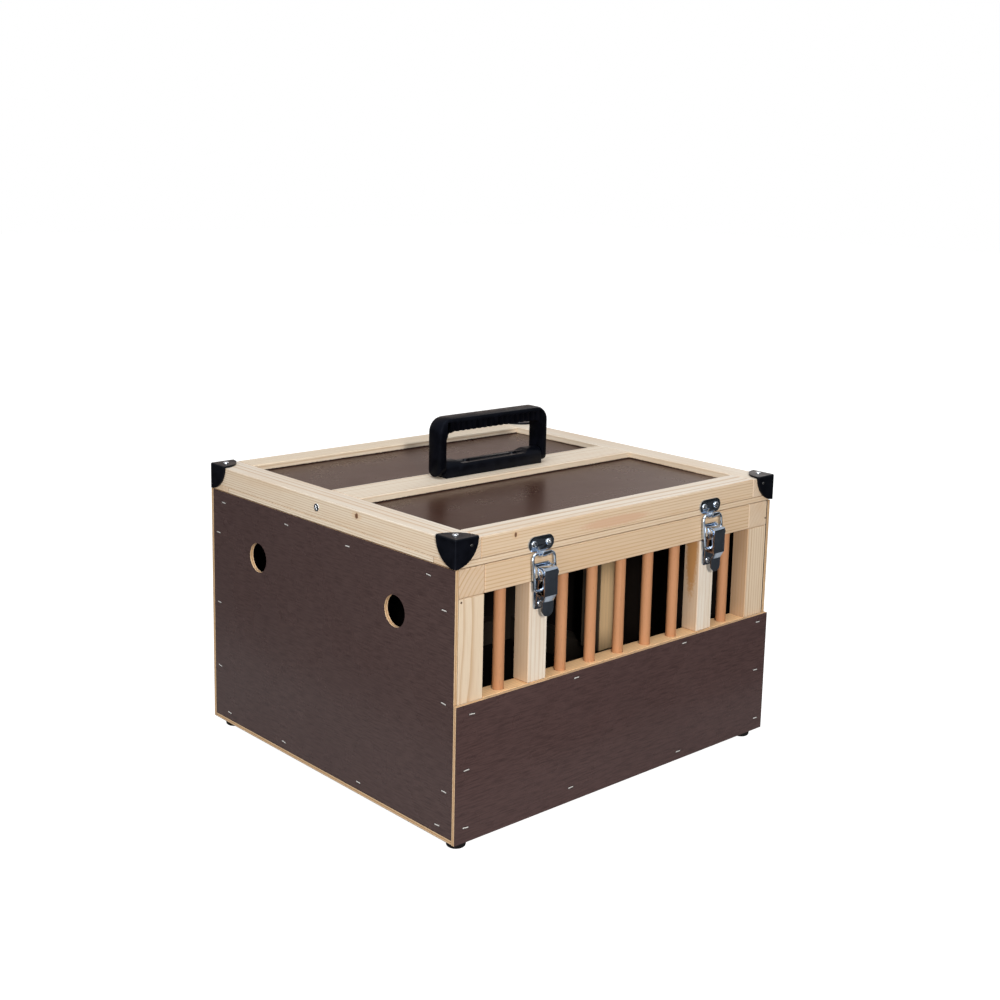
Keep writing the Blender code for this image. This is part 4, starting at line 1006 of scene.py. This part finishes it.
drive_screws("cap_face_screws", cap_face_head, cap_face_screws, "lid", dull_finish)


# The carry handle: a moulded black plastic bar screwed to the middle rail, and a folding grip that turns
# on its two pins. The grip is ribbed under a smooth rim, so that it does not slip in the hand.
handle_clean = 0.30
handle_rubbed = 0.46
handle_pebble = 0.015 * mm
handle_round = 0.45 * mm
handle_pieces = (("handle_base", "lid", 0.11), ("handle_grip", "handle", 0.05))
handle_screw_head = (3.4 * mm, 1.8 * mm)
handle_screw_reach = 30 * mm
recess_depth = 8.2 * mm
weld_gap = 0.01 * mm
flat_angle = 1
hard_angle = 25
smooth_angle = 24


def rounded_copy(node_name, body, width, finish):
    """A copy of a solid with its hard edges rounded a little, shown in the solid's place."""
    piece = bpy.data.objects.new(node_name + "_rounded", nodes[node_name].data.copy())
    bpy.context.scene.collection.objects.link(piece)
    deselect_all()
    piece.select_set(True)
    bpy.context.view_layer.objects.active = piece
    bpy.ops.mesh.customdata_custom_splitnormals_clear()
    bpy.ops.object.mode_set(mode="EDIT")
    bpy.ops.mesh.select_all(action="SELECT")
    bpy.ops.mesh.remove_doubles(threshold=weld_gap)
    bpy.ops.mesh.dissolve_limited(angle_limit=radians(flat_angle))
    bpy.ops.object.mode_set(mode="OBJECT")
    rounding = piece.modifiers.new("rounding", "BEVEL")
    rounding.width = width
    rounding.segments = 2
    rounding.limit_method = "ANGLE"
    rounding.angle_limit = radians(hard_angle)
    bpy.ops.object.modifier_apply(modifier=rounding.name)
    bpy.ops.object.shade_smooth_by_angle(angle=radians(smooth_angle))
    piece.data.materials.clear()
    piece.data.materials.append(finish)
    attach(piece, body)
    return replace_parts(piece, node_name)


for handle_name, handle_body, handle_sheen in handle_pieces:
    handle_finish = moulded_plastic("satin black " + handle_name, handle_clean, handle_rubbed,
                                    handle_pebble, handle_sheen)
    nodes[handle_name].material_slots[0].material = handle_finish
    rounded_copy(handle_name, handle_body, handle_round, handle_finish)
base_low, base_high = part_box("handle_base")
base_y = (base_low.y + base_high.y) / 2
handle_screws = [((0, 0, 1), (sign * handle_screw_reach, base_y, base_high.z - recess_depth), 30 * sign)
                 for sign in (-1, 1)]
drive_screws("handle_screws", handle_screw_head, handle_screws, "lid")


# The toggle latches: pressed and bright zinc-plated steel, each a catch on the lid and a base with its
# lever and wire bail on the box. Round-headed screws hold the catches and the bases.
latch_zinc = (0.66, 0.75, 0.87, 1.0)
latch_round = 0.25 * mm
latch_sheet = 1.2 * mm
catch_screw_head = (2.9 * mm, 1.1 * mm)
catch_screw_reach = 8.3 * mm
catch_screw_drop = 6.5 * mm
base_screw_head = (2.6 * mm, 1.0 * mm)
base_screw_height = 4.3 * mm
latch_finish = galvanised("bright zinc latch", latch_zinc, clean=0.08, rubbed=0.18)
catch_screws = []
base_screws = []
for side in ("left", "right"):
    for latch_piece, latch_body in (("base", "box"), ("lever", side + "_lever"), ("catch", "lid")):
        latch_name = side + "_latch_" + latch_piece
        nodes[latch_name].material_slots[0].material = latch_finish
        rounded_copy(latch_name, latch_body, latch_round, latch_finish)
    nodes[side + "_latch_bail"].material_slots[0].material = latch_finish
    catch_low, catch_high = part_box(side + "_latch_catch")
    catch_x = (catch_low.x + catch_high.x) / 2
    for sign in (-1, 1):
        catch_spot = (catch_x + sign * catch_screw_reach, catch_high.y - latch_sheet,
                      catch_high.z - catch_screw_drop)
        catch_screws.append(((0, -1, 0), catch_spot, 35 + 25 * len(catch_screws)))
    base_low, base_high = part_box(side + "_latch_base")
    base_spot = (catch_x, base_high.y - latch_sheet, base_low.z + base_screw_height)
    base_screws.append(((0, -1, 0), base_spot, 10 + 35 * len(base_screws)))
drive_screws("catch_screws", catch_screw_head, catch_screws, "lid")
drive_screws("latch_base_screws", base_screw_head, base_screws, "box")


# The butt hinges: zinc-plated leaves let into the back edges of the box and the lid, with three sunk
# screws in each leaf and five interlocked knuckles.
hinge_zinc = (0.62, 0.64, 0.66, 1.0)
hinge_screw_head = (1.9 * mm, 0.6 * mm)
hinge_screw_sunk = 0.85 * mm
hinge_screw_spacing = 18 * mm
hinge_screw_inset = 8.35 * mm
leaf_meeting = (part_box("back_top_rail")[1].z + slat_low.z) / 2
hinge_finish = galvanised("zinc hinge", hinge_zinc, clean=0.22, rubbed=0.4)
hinge_screws = {"box": [], "lid": []}
for side in ("left", "right"):
    for hinge_body, up in (("box", 1), ("lid", -1)):
        leaf_name = side + "_hinge_" + hinge_body + "_leaf"
        nodes[leaf_name].material_slots[0].material = hinge_finish
        leaf_low, leaf_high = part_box(leaf_name)
        leaf_x = (leaf_low.x + leaf_high.x) / 2
        leaf_face = leaf_meeting - up * hinge_screw_sunk
        for number in (-1, 0, 1):
            leaf_spot = (leaf_x + number * hinge_screw_spacing, leaf_low.y + hinge_screw_inset, leaf_face)
            hinge_screws[hinge_body].append(((0, 0, up), leaf_spot, 30 * number))
for hinge_body, spots in hinge_screws.items():
    drive_screws("hinge_" + hinge_body + "_screws", hinge_screw_head, spots, hinge_body)
